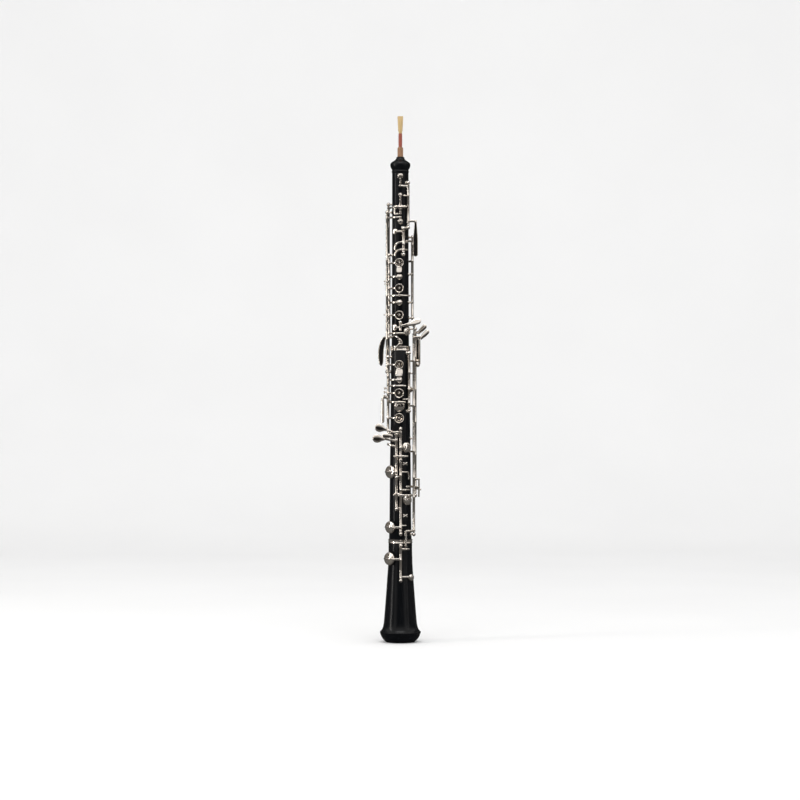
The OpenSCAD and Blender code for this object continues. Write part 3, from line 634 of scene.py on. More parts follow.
def c_trill_lever():
    """Lever that rocks on its saddle, with a barrel across it, a small cup above and a foot below."""
    mesh = bmesh.new()
    path = [(-13.6, 524.6), (-13.6, 527), (-13.5, 533.7), (-13.6, 541), (-13.6, 548)]
    bar(mesh, [(0, y, z) for y, z in path], 2, 1.3)
    barrel = rounded([(0.1, 4), (1.25, 4), (1.25, 0), (0.1, 0)], 0.25)
    lathe(mesh, barrel, at(-2, -13.6, 533.7) @ turned(90, "Y"), 28)
    leaf(mesh, (0, -13.6, 527.6), (0, -13.6, 524.3), 2.5, 1.4)
    cup(mesh, "c_trill_lever")
    piece("c_trill_lever_cast", mesh, "silver", "c_trill_lever", "c_trill_lever")


def d_trill_key():
    mesh, line = new_key("d_trill_key", 334.6, 525.4, [372, 425, 470, 521])
    key_arm(mesh, line, 521, 3, width=2.8)
    r = wood_r(520) + ARM_RISE + 0.8
    bar(mesh, [spot(0, r, 521.5), spot(0, r, 518.5), spot(0, r + 0.5, 515.8)], 2.2, 1.3)
    cup(mesh, "d_trill_key")
    bar(mesh, [spot(*line, 373), (-18.4, 1.9, 373.6), (-20.4, 1.6, 372.4)], 3, 1.3, FRONT)
    outline = smooth_path([(-19.4, 1.7, 374.6), (-21.6, 1.6, 369), (-23.4, 1.6, 361), (-24, 1.6, 352),
        (-23.8, 1.6, 344), (-23.6, 1.6, 340)], 8)
    sweep(mesh, outline, lambda t: 7 * math.sqrt(max(0.04, math.sin(math.pi * (0.06 + 0.9 * t)))), 1.7,
        facing=(-0.05, -1, 0), power=3.4, sides=24)
    finish_key(mesh, "d_trill_key")


def paddle_touch(mesh, centre, width, height):
    """Small sloping touch below a finger plate."""
    out = wood_r(centre) + 3
    high = Vector((0, 0.9 - out, centre + height / 2 + 0.6))
    low = Vector((0, -0.9 - out, centre - height / 2))
    bar(mesh, [high, high.lerp(low, 0.5), low], lambda t: width * (0.86 + 0.14 * math.sin(math.pi * t)),
        1.5, (0, -1, 0.34))


def stack_plate(name, foot, top, paddle=None, extra=None, inner=False):
    """Open-standing key of a finger stack: tube, low arm, finger plate and what hangs on it."""
    angle, z, r = CUPS[name]
    mesh, line = new_key(name, foot, top, [z])
    key_arm(mesh, line, z, angle, wood_r(z) + 1.5, width=2.6)
    plate_shape(mesh, angle, z, r, inner)
    if paddle:
        paddle_touch(mesh, *paddle)
    if extra:
        extra(mesh, line)
    finish_key(mesh, name, -OPEN)


def stack_vent(name, foot, top):
    """Open-standing key with a small cup, closed by the plate key beside it."""
    angle, z, r = CUPS[name]
    mesh, line = new_key(name, foot, top)
    key_arm(mesh, line, z, 8, seat(z, r) + 2.6, width=3, tip=0.75)
    cup_shape(mesh, angle, z, r)
    finish_key(mesh, name, -OPEN)


def stop_pin(mesh, line, z, end, r):
    """Thin pin that reaches from a stack tube over the long tube on its left."""
    knob(mesh, spot(line[0] - 3, line[1] + 1.2, z), (*end, z), r)


def left_hand_stack():
    stack_plate("half_hole_key", 453.2, 472.3, (456.4, 6.8, 5.6), inner=True)
    stack_vent("b_vent_key", 443.9, 452.9)

    def long_arm(mesh, line):
        stop_pin(mesh, line, 443, (-20.4, -3.4), 0.95)
        stop_pin(mesh, line, 439.8, (-19.8, -3.4), 0.85)
        key_arm(mesh, line, 425, 67, width=2.4, tip=0.8)
        bar(mesh, [spot(0, 13, 429), spot(0, 12.9, 427), spot(0, 12.9, 425)], 1.8, 1.3)

    stack_plate("b_key", 421.1, 443.6, extra=long_arm)
    stack_vent("a_vent_key", 412, 420.8)

    def cross_arm(mesh, line):
        key_arm(mesh, line, 378.8, 44, width=2.6)
        cup(mesh, "g_key_side")
        stop_pin(mesh, line, 402, (-20.6, -3.4), 0.9)
        for z, reach, angle, width in ((407, 3.8, -110, 2.8), (398.6, 3.6, -24, 2.8),
                (391.6, 3.6, -20, 2.4), (384, 3.4, -120, 2.4)):
            lug(mesh, line, z, reach, angle, width)

    stack_plate("g_key", 377.1, 411.7, extra=cross_arm)


def g_sharp_key():
    mesh, line = new_key("g_sharp_key", 382, 389.5)
    key_arm(mesh, line, 386, -35, width=2.8)
    cup(mesh, "g_sharp_key")
    bar(mesh, [(0.6, -15.5, 387.8), (4, -15.7, 388.3), (8, -15.5, 389.3), (12, -15.4, 390.4)],
        taper(2.4, 3.8), 1.3, FRONT)
    leaf(mesh, (8.5, -15.4, 389.4), (25.2, -15.3, 394.8), 7.8, 1.5, (0, -1, 0.3), 0.1, 0.45)
    finish_key(mesh, "g_sharp_key")


# ---- Keys of the lower joint ----

def right_hand_stack():
    stack_plate("f_sharp_key", 326.3, 347.4, (330.2, 9, 7.4), inner=True)
    stack_vent("f_vent_key", 317.2, 326)

    def bridge(mesh, line):
        key_arm(mesh, line, 314.5, 32, width=2.6, tip=0.8)
        for z, reach, angle, width in ((311.4, 4.2, -96, 3.4), (306.6, 4.6, -84, 3.4),
                (302, 5.2, -102, 3.4), (299.6, 3.8, -28, 3)):
            lug(mesh, line, z, reach, angle, width)

    stack_plate("e_key", 297.2, 316.9, extra=bridge)

    def vent(mesh, line):
        key_arm(mesh, line, 294.4, 27, 15.2, width=2.8, tip=0.9)
        cup(mesh, "d_key_vent")

    stack_plate("d_key", 259.1, 296.9, extra=vent, inner=True)


def f_resonance_key():
    mesh, line = new_key("f_resonance_key", 286, 352.4, [293.4, 310, 331])
    key_arm(mesh, line, 310, 68)
    key_arm(mesh, line, 298, 14, width=2.4)
    cup(mesh, "f_resonance_key")
    finish_key(mesh, "f_resonance_key")


def e_flat_key():
    mesh, line = new_key("e_flat_key", 226.6, 259.4, [228.3, 239, 257.6])
    key_arm(mesh, line, 239, 29)
    key_arm(mesh, line, 228.3, 28, 18.3, width=2.8)
    cup(mesh, "e_flat_key")
    key_arm(mesh, line, 257.8, -31, 21.3, width=2.8, tip=0.9)
    bar(mesh, [spot(-28, 21.4, 258), (-13.2, -18.6, 259.4), (-16.5, -17.6, 260.8), (-20, -17.1, 262)],
        3, 1.3, FRONT)
    leaf(mesh, (-17, -17.3, 261), (-30.9, -17, 264.6), 10.2, 1.8, (-0.06, -1, 0.1), 0.2, 0.38)
    path = [spot(-20, 21.6), spot(-8, 21.6), spot(1, 20.2), spot(2, 18.4)]
    bar(mesh, [p + Vector((0, 0, 228.3)) for p in path], 2.6, 1.2)
    finish_key(mesh, "e_flat_key")


def low_c_key():
    mesh, line = new_key("low_c_key", 205.2, 252.3, [209, 227, 248])
    crossed_cup(mesh, line, "low_c_key")
    bar(mesh, [spot(line[0], line[1] + 0.9, 247.6), (-12, -18.2, 248.4), (-18, -17.7, 249.6),
        (-22, -17.6, 250.2)], 3, 1.3, FRONT)
    leaf(mesh, (-19.6, -17.6, 249.6), (-34.4, -17.6, 250.6), 10.4, 1.8, (-0.06, -1, 0.1), 0.2, 0.38)
    leaf(mesh, (-9.8, -17.8, 253.2), (-22.6, -17.6, 254), 6.6, 1.7, (-0.04, -1, 0.12), 0.1, 0.62)
    bar(mesh, [(-14.2, -17.9, 249), (-14.6, -17.8, 252)], 3.2, 1.2, FRONT)
    bar(mesh, [spot(line[0], line[1] + 1, 239.6), (-9.6, -16.2, 241.2), (-13.2, -13, 242.6),
        (-14.8, -10.6, 243.2)], taper(2.4, 3.2), 1.4)
    finish_key(mesh, "low_c_key", OPEN)


def c_sharp_key():
    mesh, line = new_key("c_sharp_key", 166.6, 199.9, [180.6])
    key_arm(mesh, line, 180.6, 37, 20.1, width=3, tip=0.9)
    bar(mesh, [spot(36, 20.2, 180.6), spot(38.5, 19.3, 180.2), spot(38, 16.6, 178.8)], 2.6, 1.4, UP)
    bar(mesh, [spot(-26, 19.2, 180.8), spot(-16, 19.4, 181.4), spot(-4, 20.3, 181.8), spot(8, 20.5, 181)],
        lambda t: 1.6 + 3 * math.sin(math.pi * min(1, 0.1 + t)) ** 2, 1.2)
    cup(mesh, "c_sharp_key")
    finish_key(mesh, "c_sharp_key")


def low_b_key():
    mesh, line = new_key("low_b_key", 136.4, 221.1, [141.3, 187.2, 205])
    crossed_cup(mesh, line, "low_b_key")
    key_arm(mesh, line, 187.2, 42, 16.7, width=2.8)
    ball(mesh, spot(line[0], line[1] + 0.8, 187.2), 1.9)
    key_arm(mesh, line, 209, 30, 17.6, width=2.2)
    bar(mesh, round_path(18.3, (29, 209), (34, 207.6), (37, 203.6), (35.5, 200.4)), 2, 1.4)
    key_arm(mesh, line, 143.6, 21, 17.8, width=2)
    finish_key(mesh, "low_b_key", OPEN)


def boxed_lever(mesh, foot):
    """Stiffening frame beside the upper end of the low B tube: outer tube, web, collar and foot."""
    outer_tube = rounded([(0.1, 0), (1.3, 0), (1.3, 33.5), (0.1, 33.5)], 0.4)
    lathe(mesh, outer_tube, at(23.4, -2.6, 341.5), 28)
    for z in (372.6, 341):
        bar(mesh, [(foot.x, foot.y - 0.3, z), (21, -2.8, z), (23.4, -2.6, z)], 3.2, 1.8, FRONT)
    bar(mesh, [(20.9, -2.3, 371.5), (20.9, -2.3, 360), (20.9, -2.3, 346)], 3.1, 0.7, FRONT)
    ball(mesh, Vector((20.6, -3.2, 345.2)), 1.9)
    collar = rounded([(0.1, 0), (1.9, 0.6), (2.6, 2), (2.6, 3.4), (0.1, 3.4)], 0.5)
    lathe(mesh, collar, at(21.4, -2.5, 337.6), 28)


def low_b_touch():
    mesh, line = new_key("low_b_touch", 183, 381.7, [191, 230, 270, 310, 350, 380])
    key_arm(mesh, line, 191, 30, 14.2)
    foot = spot(*line)
    bar(mesh, [(foot.x, foot.y, 380.2), (21, -2.6, 380.2), (23.2, -3, 381.6)], 3, 1.3, FRONT)
    leaf(mesh, (21.6, -3, 378.8), (31.6, -3, 389.2), 5.8, 1.6, (0, -1, 0.3), 0.2, 0.6)
    bar(mesh, [(16.2, -5.4, 200), (20, -5.4, 200.2), (23.4, -4.6, 200)], 2.4, 1.5, FRONT)
    bar(mesh, [(foot.x, foot.y - 1, 200), (17.8, -4.8, 200)], 2.2, 1.4, UP)
    bar(mesh, [(22.8, -4.4, 200.4), (22.9, -4.2, 190), (22.6, -4.2, 178.8)], 2, 1.4, FRONT)
    bar(mesh, [(foot.x, foot.y - 0.9, 189.6), (20, -4.4, 189.6), (22.6, -4.2, 189)], 4.4, 1.4, FRONT)
    knob(mesh, (22.8, -4.2, 187.4), (25.6, -4.2, 187.4), 1.2)
    boxed_lever(mesh, foot)
    finish_key(mesh, "low_b_touch")


def low_b_flat_touch():
    mesh, line = new_key("low_b_flat_touch", 135.2, 378.7, [137, 178, 202, 234, 290, 345, 374])
    key_arm(mesh, line, 137, 21, 19.75, width=2.8, tip=0.9)
    bar(mesh, round_path(19.75, (22, 137.4), (20, 135), (20, 126), (20, 117.6)), 2.5, 1.4)
    foot = spot(*line)
    bar(mesh, [(foot.x, foot.y - 0.6, 374), (21, -9.5, 374), (25, -9.6, 374.6)], 3, 1.3, FRONT)
    leaf(mesh, (24.6, -9.6, 372), (34.7, -9.6, 382.5), 5.8, 1.6, (0, -1, 0.3), 0.2, 0.6)
    finish_key(mesh, "low_b_flat_touch")


def bell_key():
    """Key with two cups. Its tube and large cup stand open, and the small cup below is closed."""
    mesh, line = new_key("bell_key", 79, 116.5, [101.7])
    crossed_cup(mesh, line, "bell_key", 102.2)
    key_arm(mesh, line, 114.8, 34, 19.1)
    bmesh.ops.transform(mesh, matrix=swung(line, OPEN), verts=mesh.verts)
    key_arm(mesh, line, 80.8, 45, width=2.8)
    cup(mesh, "bell_key_vent")
    finish_key(mesh, "bell_key")


for make_key in (side_octave_key, thumb_octave_key, first_octave_key, c_trill_key, c_trill_lever,
        d_trill_key, left_hand_stack, g_sharp_key, right_hand_stack, f_resonance_key, e_flat_key,
        low_c_key, c_sharp_key, low_b_key, low_b_touch, low_b_flat_touch, bell_key):
    make_key()


# ---- Fixed metalwork, placed from the frame's own nodes ----

BALL_R = 2.3  # heads of the posts


def fixed(name, mesh, slot, node=None, smooth_angle=40):
    piece(name, mesh, slot, "oboe_body", node, None, smooth_angle)


def islands(node):
    """Separate solids of a CAD node, each as a list of points in millimetres."""
    source = frame["nodes"][node]
    mesh = bmesh.new()
    mesh.from_mesh(source.data)
    bmesh.ops.transform(mesh, matrix=source.matrix_world, verts=mesh.verts)
    bmesh.ops.remove_doubles(mesh, verts=mesh.verts, dist=1e-6)
    seen = set()
    groups = []
    for start in mesh.verts:
        if start in seen:
            continue
        seen.add(start)
        group, queue = [], [start]
        while queue:
            vert = queue.pop()
            group.append(vert.co / MM)
            for edge in vert.link_edges:
                other = edge.other_vert(vert)
                if other not in seen:
                    seen.add(other)
                    queue.append(other)
        groups.append(group)
    mesh.free()
    return groups


def all_points(node):
    return [p for group in islands(node) for p in group]


def middle(points, axis):
    return sum(extent(points, axis)) / 2


def outermost(points):
    """Angle, reach and middle height of a solid that stands out from the wood."""
    reach = max(math.hypot(p.x, p.y) for p in points)
    far = [p for p in points if math.hypot(p.x, p.y) > reach - 0.5]
    x, y = middle(far, 0), middle(far, 1)
    return math.degrees(math.atan2(x, -y)), reach, middle(points, 2)


def slotted_end(mesh, centre, r, up, height=0.5, slot=0.32):
    """Two half discs with a screwdriver slot between them, raised along Z."""
    for side in (-1, 1):
        outline = [Vector((side * slot / 2, -r * 0.98)), Vector((side * slot / 2, r * 0.98))]
        for i in range(1, 12):
            a = math.pi / 2 - math.pi * i / 12
            outline.append(Vector((side * max(slot / 2, r * math.cos(a)), r * math.sin(a))))
        levels = [(1, 0), (1, height - 0.12), (0.86, height)]
        rings = [[centre + Vector((p.x * k, p.y * k, up * h)) for p in outline] for k, h in levels]
        skin(mesh, rings)


def hoop(mesh, place, r, width, thick, start, end, steps, tail=0.0):
    """Band of rounded section bent round the local Z of place, with straight tails if it isn't closed."""
    section = [(0.5, 0.32), (0.38, 0.5), (-0.38, 0.5), (-0.5, 0.32),
        (-0.5, -0.32), (-0.38, -0.5), (0.38, -0.5), (0.5, -0.32)]
    full = end - start >= 360
    angles = [math.radians(start + (end - start) * i / steps) for i in range(steps if full else steps + 1)]
    rings = []
    for a in angles:
        out = Vector((math.cos(a), math.sin(a), 0))
        rings.append([place @ (out * (r + across * thick) + Vector((0, 0, up * width)))
            for across, up in section])
    if tail and not full:
        for ring_index, a, sign in ((0, angles[0], -1), (-1, angles[-1], 1)):
            along = Vector((-math.sin(a), math.cos(a), 0)) * sign * tail
            move = place.to_3x3() @ along
            extra = [p + move for p in rings[ring_index]]
            rings = [extra] + rings if ring_index == 0 else rings + [extra]
    skin(mesh, rings, loop=full)


def post_profile(foot, centre):
    """Turned post: flange on the wood, waisted stem and ball head."""
    neck = centre - BALL_R * 0.86
    gap = max(0.3, neck - foot)
    flange = [(0.1, foot - 1.2), (1.2, foot - 1.2), (1.9, foot - 0.2), (2.25, foot + min(0.15, gap * 0.2)),
        (2.25, foot + min(0.45, gap * 0.4)), (1.7, foot + min(0.75, gap * 0.6)),
        (1.2, foot + min(1.1, gap * 0.75))]
    stem = [(1.02, foot + gap * 0.85), (1.15, neck)] if gap > 1.6 else []
    return flange + stem + arc_points(BALL_R, -58, 90, 16, centre)


def turned_posts():
    mesh = bmesh.new()
    for points in islands("posts"):
        angle, reach, z = outermost(points)
        profile = post_profile(wood_r(z), reach - BALL_R)
        lathe(mesh, [(max(radius, 0.05), h) for radius, h in profile], outwards(angle, z), 28)
    fixed("posts_turned", mesh, "silver", "posts", 50)


def drawn_rods():
    r = TUBE_BORE_R - 0.07
    mesh = bmesh.new()
    for points in islands("hinge_rods"):
        low, high = extent(points, 2)
        lowest = [p for p in points if p.z < low + 0.01]
        x, y = middle(lowest, 0), middle(lowest, 1)
        lathe(mesh, [(0.05, low + 0.35), (r, low + 0.35), (r, high - 0.45), (0.05, high - 0.45)],
            at(x, y, 0), 24)
        slotted_end(mesh, Vector((x, y, high - 0.5)), r, 1)
        slotted_end(mesh, Vector((x, y, low + 0.5)), r, -1)
    fixed("hinge_rods_drawn", mesh, "steel", "hinge_rods")


def forked_guides():
    mesh = bmesh.new()
    for points in islands("key_guides"):
        angle, reach, z = outermost(points)
        foot = wood_r(z)
        centre = reach - 1.05
        stem = [(0.1, foot - 1), (2.1, foot - 0.6), (2.1, foot + 0.6), (1.1, foot + 0.9),
            (0.95, (foot + centre) / 2), (1.2, centre - 2.4), (0.1, centre - 2.2)]
        lathe(mesh, rounded(stem), outwards(angle, z), 28)
        place = at(*spot(angle, centre, z)) @ turned(angle)
        hoop(mesh, place, TUBE_R + 0.75, 2.3, 1.0, 0, 180, 18, tail=1.1)
    fixed("key_guides_forked", mesh, "silver", "key_guides")


def articulation_bracket():
    """Bracket above the middle ring that steadies the G sharp lever, with its stop and bent spring arm."""
    mesh = bmesh.new()
    foot = wood_r(368)
    stem = [(0.1, foot - 0.8), (2.4, foot - 0.5), (2.4, foot + 0.6), (1.3, foot + 1), (1.1, foot + 2),
        (0.1, foot + 2.2)]
    lathe(mesh, rounded(stem), outwards(0, 368), 28)
    bar(mesh, [(-1.6, -foot - 1.8, 371.6), (0, -foot - 2.2, 370.4), (1.3, -foot - 2.2, 368),
        (0.4, -foot - 2, 365.6)], 2.6, 1.6)
    ball(mesh, (-1.2, -foot - 2.2, 366), 1.3)
    ball(mesh, (1.7, -foot - 2, 366.2), 1.0)
    bar(mesh, [(-1.2, -foot - 2.4, 366), (-5.4, -foot - 1.7, 361.4), (-9.6, -8.6, 357.6),
        (-11.4, -5.4, 354.2)], taper(1.9, 1.4), 1.2)
    bar(mesh, [(-1.4, -foot - 1.9, 371.2), (-3.6, -foot - 1.4, 374.2), (-7, -9.4, 375.4),
        (-10, -6.2, 375.2)], 1.7, 1.1)
    fixed("articulation_bracket", mesh, "silver")


def spring_catches():
    """Small bow-shaped plates screwed to the wood beside the long tubes."""
    mesh = bmesh.new()
    for z in (219, 155.5):
        r = wood_r(z) + 0.9
        for slope in (-1, 1):
            bar(mesh, [spot(15, r, z - 1.4 * slope), spot(26, r + 0.2, z), spot(37, r, z + 1.4 * slope)],
                lambda t: 1.9 - 0.9 * math.sin(math.pi * t), 0.9)
        screw = [(0.1, r - 1.6), (1.2, r - 1.6), (1.2, r + 0.9), (0.8, r + 1.2), (0.1, r + 1.2)]
        lathe(mesh, rounded(screw, 0.2), outwards(26, z), 24)
    fixed("spring_catches", mesh, "silver")


def rocking_saddle():
    """Saddle of the C trill lever: foot, cradle, and a ball with a pointed screw on either side."""
    mesh = bmesh.new()
    axle = HINGES["c_trill_lever"]["pos_m"]
    z, out = axle[2] / MM, -axle[1] / MM
    foot = wood_r(z)
    flange = [(0.1, foot - 0.8), (3.3, foot - 0.6), (3.3, foot + 0.5), (2.5, foot + 0.9), (0.1, foot + 1.2)]
    lathe(mesh, rounded(flange, 0.3), outwards(0, z), 36)
    bar(mesh, [(-5.3, -out + 0.9, z), (-3.4, -foot - 1.2, z), (0, -foot - 0.9, z), (3.4, -foot - 1.2, z),
        (5.3, -out + 0.9, z)], 3.6, 1.5, FRONT)
    point = [(0.05, -0.8), (0.35, -0.5), (0.65, 0.05)]
    screw = [(0.85, 4.0), (1.25, 4.0), (1.25, 4.5), (0.9, 4.7), (0.05, 4.7)]
    for side in (-1, 1):
        place = at(side * 3.2, -out, z) @ turned(90 * side, "Y")
        lathe(mesh, point + arc_points(2.2, -48, 68, 12, 1.7) + screw, place, 32)
    fixed("lever_saddle_turned", mesh, "silver", "lever_saddle", 50)


def socket_rings():
    """Metal rings at the two joins, with a bead along each edge."""
    for node in ("middle_socket_ring", "bell_socket_ring"):
        points = all_points(node)
        low, high = extent(points, 2)
        radii = [math.hypot(p.x, p.y) for p in points]
        r_in, r = min(radii), max(radii)
        bead = min(0.9, (high - low) * 0.16)
        profile = [(r_in, low), (r - 0.25, low), (r + 0.05, low + bead * 0.3), (r + 0.05, low + bead),
            (r - 0.22, low + bead * 1.4), (r - 0.3, (low + high) / 2), (r - 0.22, high - bead * 1.4),
            (r + 0.05, high - bead), (r + 0.05, high - bead * 0.3), (r - 0.25, high), (r_in, high)]
        mesh = bmesh.new()
        lathe(mesh, profile, None, 96, loop=True)
        fixed(node + "_beaded", mesh, "silver", node, 50)


def hooked_thumb_rest():
    """Plate on the wood with a hook for the thumb and a ring for a strap."""
    mesh = bmesh.new()
    points = all_points("thumb_rest")
    low, high = extent(points, 2)
    front, back = extent(points, 1)
    z = (low + high) / 2
    y = front + 0.8
    sweep(mesh, [Vector((0, y, low + 0.9 + (high - low - 1.8) * i / 12)) for i in range(13)], 9, 1.5,
        facing=BACK, power=5)
    hook = [(y, z), (y + 4, z), (back - 5, z), (back - 1.6, z + 0.8), (back - 0.9, z + 3)]
    bar(mesh, [(0, depth, height) for depth, height in hook], taper(8.2, 9), 2.2, (0, 0.2, 1), 8)
    hoop(mesh, at(0, y + 4.1, z - 5.5) @ turned(90, "Y"), 2.85, 2.4, 1.2, 0, 360, 32)
    fixed("thumb_rest_hooked", mesh, "silver", "thumb_rest")


def slotted_screws():
    """Screws of the thumb rest. Two bars on each head leave the slot between them."""
    screw = [(0.1, -3.5), (0.85, -3.5), (0.85, -1.2), (2, -1.1), (2, -0.5), (1.4, -0.3), (0.1, -0.3)]
    mesh = bmesh.new()
    for points in islands("thumb_rest_screws"):
        z = middle(points, 2)
        back = extent(points, 1)[1]
        lathe(mesh, rounded(screw), at(0, back, z) @ turned(-90, "X"), 28)
        for side in (-1, 1):
            path = [Vector((side * 0.85, back - 0.3, z - 1.3 + 2.6 * i / 6)) for i in range(7)]
            sweep(mesh, path, 1.1, 0.7, facing=BACK, end_round=0.3)
    fixed("thumb_rest_screws_slotted", mesh, "steel", "thumb_rest_screws")


# ---- Wood ----

def bend(pairs, steps=10):
    """Points of a cubic curve given by four (radius, height) pairs."""
    a, b, c, d = [Vector(pair) for pair in pairs]
    result = []
    for i in range(steps + 1):
        t = i / steps
        point = a * (1 - t) ** 3 + b * 3 * t * (1 - t) ** 2 + c * 3 * t * t * (1 - t) + d * t ** 3
        result.append(tuple(point))
    return result


def straight(low, high):
    """Outline of the wood between two heights, as (radius, height) pairs."""
    heights = [z for z, r in WOOD_OUTLINE if low < z < high]
    return [(wood_r(z), z) for z in [low] + heights + [high]]


def turned_wood(node, profile, low, high):
    """Turned body part, with a raised seat round the tone hole of every cup between two heights."""
    mesh = bmesh.new()
    lathe(mesh, profile, None, 160, loop=True)
    for angle, z, r in CUPS.values():
        if low < z < high:
            top = seat(z, r)
            hole = r * 0.42
            lathe(mesh, [(hole, top - 3.2), (hole, top - 0.2), (hole + 0.2, top), (r - 1.15, top),
                (r - 0.95, top - 0.2), (r - 0.9, top - 2.4)], outwards(angle, z), 40)
    fixed(node + "_turned", mesh, "blackwood", node, 50)


def wood():
    """Upper joint, lower joint and bell. Each outline runs up outside and back down the bore."""
    head = bend([(10.1, 576), (10.3, 577.2), (11.2, 577.4), (10.1, 579.3)])
    head += bend([(10.1, 580.2), (11.3, 581.6), (12.45, 583.9), (12.35, 586.3)], 16)
    head += bend([(12.33, 586.4), (12.2, 588.2), (11.5, 588.9), (9.6, 590.2)], 16)
    head += bend([(9.4, 590.35), (6.4, 592.1), (4.95, 593.1), (4.8, 595.6)], 12)
    reed_well = [(4.5, 596), (3.75, 596), (3.55, 595.7), (3.55, 573), (2.1, 573)]
    upper = [(7.38, 363.42), (10.45, 363.42)] + straight(363.9, 575.8) + head + reed_well
    upper += [(5, 363.42), (5, 343.6), (7.38, 343.6)]
    turned_wood("upper_joint", upper, MIDDLE_JOIN, 600)
    socket = [(11.3, 357.68), (8.4, 357.68), (8.4, 343.4), (5, 343.4)]
    lower = [(9.68, 126.22), (13.65, 126.22)] + straight(126.7, 357.2) + socket
    lower += [(7.7, 126.22), (7.7, 106.4), (9.68, 106.4)]
    turned_wood("lower_joint", lower, BELL_JOIN, MIDDLE_JOIN)
    bell = bend([(17.9, 0), (19.4, 1.4), (22.8, 4.4), (24.1, 8.6)], 14)
    bell += bend([(24.2, 8.9), (25, 10.9), (25.25, 11.8), (25.2, 12.3)], 8)
    bell += bend([(25.1, 12.6), (22.8, 14.2), (21.1, 17), (20.3, 24)], 20)
    bell += bend([(20.1, 26), (18.6, 42), (16.4, 74), (15, 94)], 14)
    bell += [(14.5, 112), (14.5, 121), (14.2, 121.48), (10.7, 121.48), (10.7, 106), (8.2, 106)]
    bell += bend([(8.2, 105.8), (9.4, 70), (14, 26), (16, 5)], 14)
    bell += [(16, 0.4), (16.4, 0)]
    turned_wood("bell", bell, 0, BELL_JOIN)


# ---- Reed ----

def reed_span(node):
    """Lowest and highest point of a part of the reed, and its reach to the side."""
    points = all_points(node)
    return (*extent(points, 2), extent(points, 0)[1])


def staple_cork():
    bore = 2.65
    low, high, r = reed_span("staple_cork")
    outline = [(bore, low), (r - 0.5, low), (r - 0.02, low + 0.7), (r - 0.02, high - 1.4),
        (r - 0.3, high - 0.4), (bore, high - 0.1)]
    mesh = bmesh.new()
    lathe(mesh, rounded(outline, 0.5), None, 48, loop=True)
    piece("staple_cork_wrapped", mesh, "cork", "reed", "staple_cork")


def reed_thread():
    """Turns of thread side by side, slightly bulging and drawn in at the top."""
    low, high, reach = reed_span("reed_thread")
    turns = 46
    pitch = (high - low) / turns
    profile = [(2.05, low)]
    for turn in range(turns):
        t = turn / (turns - 1)
        r = 2.24 + 0.06 * t + 0.08 * math.sin(t * 3.1) - (0.15 * max(0, (t - 0.95) / 0.05))
        base = low + turn * pitch
        profile += [(r - 0.1, base + 0.02 * pitch), (r + 0.04, base + 0.28 * pitch),
            (r + 0.07, base + 0.5 * pitch), (r + 0.04, base + 0.72 * pitch)]
    profile += [(2.15, high), (2.05, high)]
    mesh = bmesh.new()
    lathe(mesh, profile, None, 48, loop=True)
    piece("reed_thread_wound", mesh, "thread", "reed", "reed_thread", None, 60)


def reed_blades():
    """Two blades, flat inside and arched outside, that widen and thin out to clipped tip corners."""
    low, high, half_tip = reed_span("reed_blades")
    rows = 40
    mesh = bmesh.new()
    for side in (-1, 1):
        rings = []
        for row in range(rows + 1):
            t = row / rows
            bark = min(1, max(0, (t - 0.1) / 0.05))
            corner = 1 - 0.09 * max(0, (t - 0.93) / 0.07)
            half = (2.1 + 0.42 * bark + (half_tip - 2.55) * t) * corner
            deep = (1.9 + 0.25 * bark) * (1 - t) ** 0.62 + 0.2
            ring = []
            for i in range(17):
                a = math.pi * i / 16
                y = side * (0.05 + deep * math.sin(a) ** (1 + 0.25 * t))
                ring.append(Vector((half * math.cos(a), y, low + (high - low) * t)))
            rings.append(ring)
        skin(mesh, rings)
    piece("reed_blades_scraped", mesh, "cane", "reed", "reed_blades", None, 50)


for make_fixed in (wood, turned_posts, drawn_rods, forked_guides, articulation_bracket, spring_catches,
        rocking_saddle, socket_rings, hooked_thumb_rest, slotted_screws, staple_cork, reed_thread,
        reed_blades):
    make_fixed()


# ---- Floor, lights and camera ----

def seen_by_gloss(nodes, links, plain, glossy):
    """Mixes two colours: what every ray sees, and what only mirror-like rays see."""
    path = nodes.new("ShaderNodeLightPath")
    mix = nodes.new("ShaderNodeMix")
    mix.data_type = "RGBA"
    links.new(path.outputs["Is Glossy Ray"], mix.inputs["Factor"])
    for socket, colour in (("A", plain), ("B", glossy)):
        target = [i for i in mix.inputs if i.name == socket and i.type == "RGBA"][0]
        if isinstance(colour, tuple):
            target.default_value = (*colour, 1)
        else:
            links.new(colour, target)
    return [o for o in mix.outputs if o.type == "RGBA"][0]


def paper():
    """White paper that looks grey in reflections, so that metal and lacquer keep their contrast."""
    material, nodes, links, shader = node_material("paper_white")
    field = noise_field(nodes, links, 3, 2)
    tint = ramp(nodes, links, field, [(0.3, (0.91, 0.91, 0.91)), (0.7, (0.93, 0.93, 0.93))])
    mixed = seen_by_gloss(nodes, links, tint, (0.065, 0.062, 0.058))
    links.new(mixed, shader.inputs["Base Color"])
    shader.inputs["Roughness"].default_value = 0.8
    return material


def floor():
    """A pale sheet that curves up behind the object."""
    mesh = bmesh.new()
    rows = [(-6, 0)] + [(1.6 + 1.2 * math.sin(t), 1.2 - 1.2 * math.cos(t))
        for t in [i * math.pi / 32 for i in range(17)]] + [(2.8, 6)]
    previous = None
    for y, z in rows:
        row = [mesh.verts.new((x, y, z - 0.0002)) for x in (-6, 6)]
        if previous:
            mesh.faces.new((previous[0], previous[1], row[1], row[0]))
        previous = row
    data = bpy.data.meshes.new("floor")
    mesh.to_mesh(data)
    mesh.free()
    for face in data.polygons:
        face.use_smooth = True
    data.materials.append(paper())
    sheet = bpy.data.objects.new("floor", data)
    bpy.context.scene.collection.objects.link(sheet)


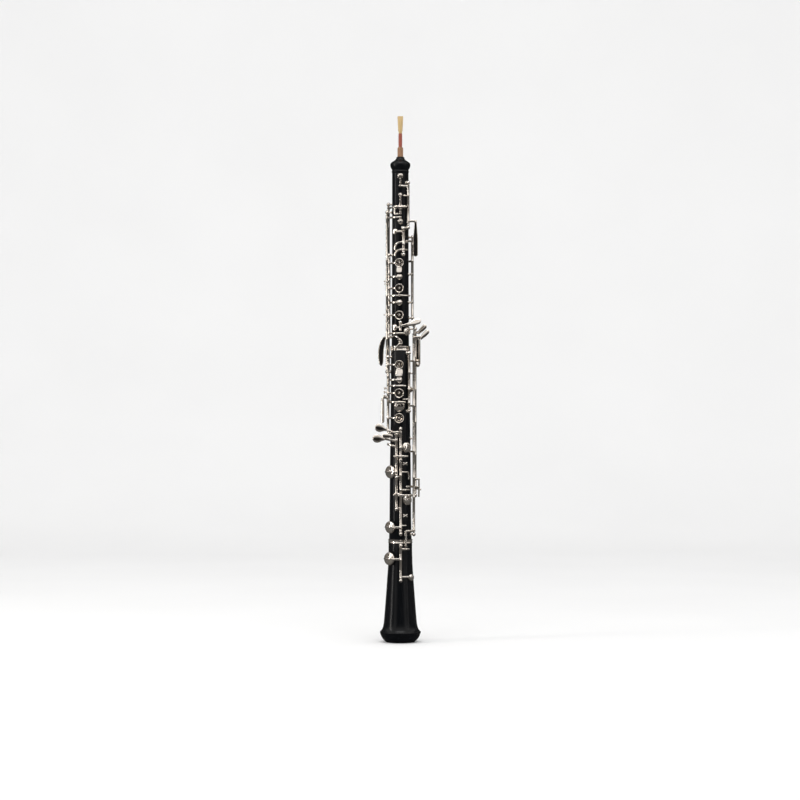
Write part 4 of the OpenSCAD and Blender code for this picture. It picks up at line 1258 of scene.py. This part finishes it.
def area_light(name, place, target, size, power, colour=(1, 1, 1)):
    light = bpy.data.lights.new(name, "AREA")
    light.shape = "RECTANGLE"
    light.size, light.size_y = size
    light.energy = power
    light.color = colour
    holder = bpy.data.objects.new(name, light)
    holder.location = place
    holder.rotation_euler = (Vector(target) - Vector(place)).to_track_quat("-Z", "Y").to_euler()
    bpy.context.scene.collection.objects.link(holder)


def surround():
    """White room for soft light. Mirror-like rays see bright walls at the sides and a dark front."""
    world = bpy.data.worlds.new("studio")
    bpy.context.scene.world = world
    world.use_nodes = True
    nodes, links = world.node_tree.nodes, world.node_tree.links
    back = nodes["Background"]
    place = nodes.new("ShaderNodeTexCoord")
    split = nodes.new("ShaderNodeSeparateXYZ")
    links.new(place.outputs["Generated"], split.inputs[0])
    side = nodes.new("ShaderNodeMath")
    side.operation = "ABSOLUTE"
    links.new(split.outputs["X"], side.inputs[0])
    walls = ramp(nodes, links, side.outputs[0], [(0.0, (0.006, 0.006, 0.007)), (0.4, (0.02, 0.017, 0.014)),
        (0.56, (0.95, 0.92, 0.89)), (0.68, (1.0, 0.97, 0.94)), (0.77, (0.05, 0.042, 0.035)),
        (0.94, (0.06, 0.05, 0.042)), (1.0, (0.2, 0.185, 0.17))])
    up = ramp(nodes, links, split.outputs["Z"], [(0.0, (0, 0, 0)), (0.2, (0, 0, 0)),
        (0.46, (0.95, 0.92, 0.89))])
    total = nodes.new("ShaderNodeMix")
    total.data_type = "RGBA"
    total.blend_type = "LIGHTEN"
    colour_in = [i for i in total.inputs if i.type == "RGBA"]
    total.inputs["Factor"].default_value = 1
    links.new(walls, colour_in[0])
    links.new(up, colour_in[1])
    glossy = [o for o in total.outputs if o.type == "RGBA"][0]
    links.new(seen_by_gloss(nodes, links, (0.9, 0.9, 0.9), glossy), back.inputs["Color"])
    back.inputs["Strength"].default_value = 1


def studio():
    """Narrow tall boxes either side for the long highlights, and a soft box above."""
    centre = (0, 0, 0.32)
    area_light("left_strip", (-1.5, -0.52, 0.4), centre, (0.13, 1.9), 9, (1, 0.97, 0.93))
    area_light("right_strip", (1.5, -0.9, 0.4), centre, (0.1, 1.6), 1.6, (1, 0.97, 0.94))
    area_light("top_box", (0.0, -0.9, 2.2), centre, (1.4, 1.0), 14)


def camera():
    """A long lens looking level at the middle of the frame."""
    data = bpy.data.cameras.new("camera")
    data.sensor_width = 36
    data.lens = 100
    holder = bpy.data.objects.new("camera", data)
    middle_height = 0.2972
    frame_height = 0.984
    distance = frame_height * data.lens / data.sensor_width
    holder.location = (-0.0004, -distance, middle_height)
    holder.rotation_euler = (math.pi / 2, 0, 0)
    bpy.context.scene.collection.objects.link(holder)
    bpy.context.scene.camera = holder


floor()
surround()
studio()
camera()
bpy.context.scene.view_settings.view_transform = "Standard"
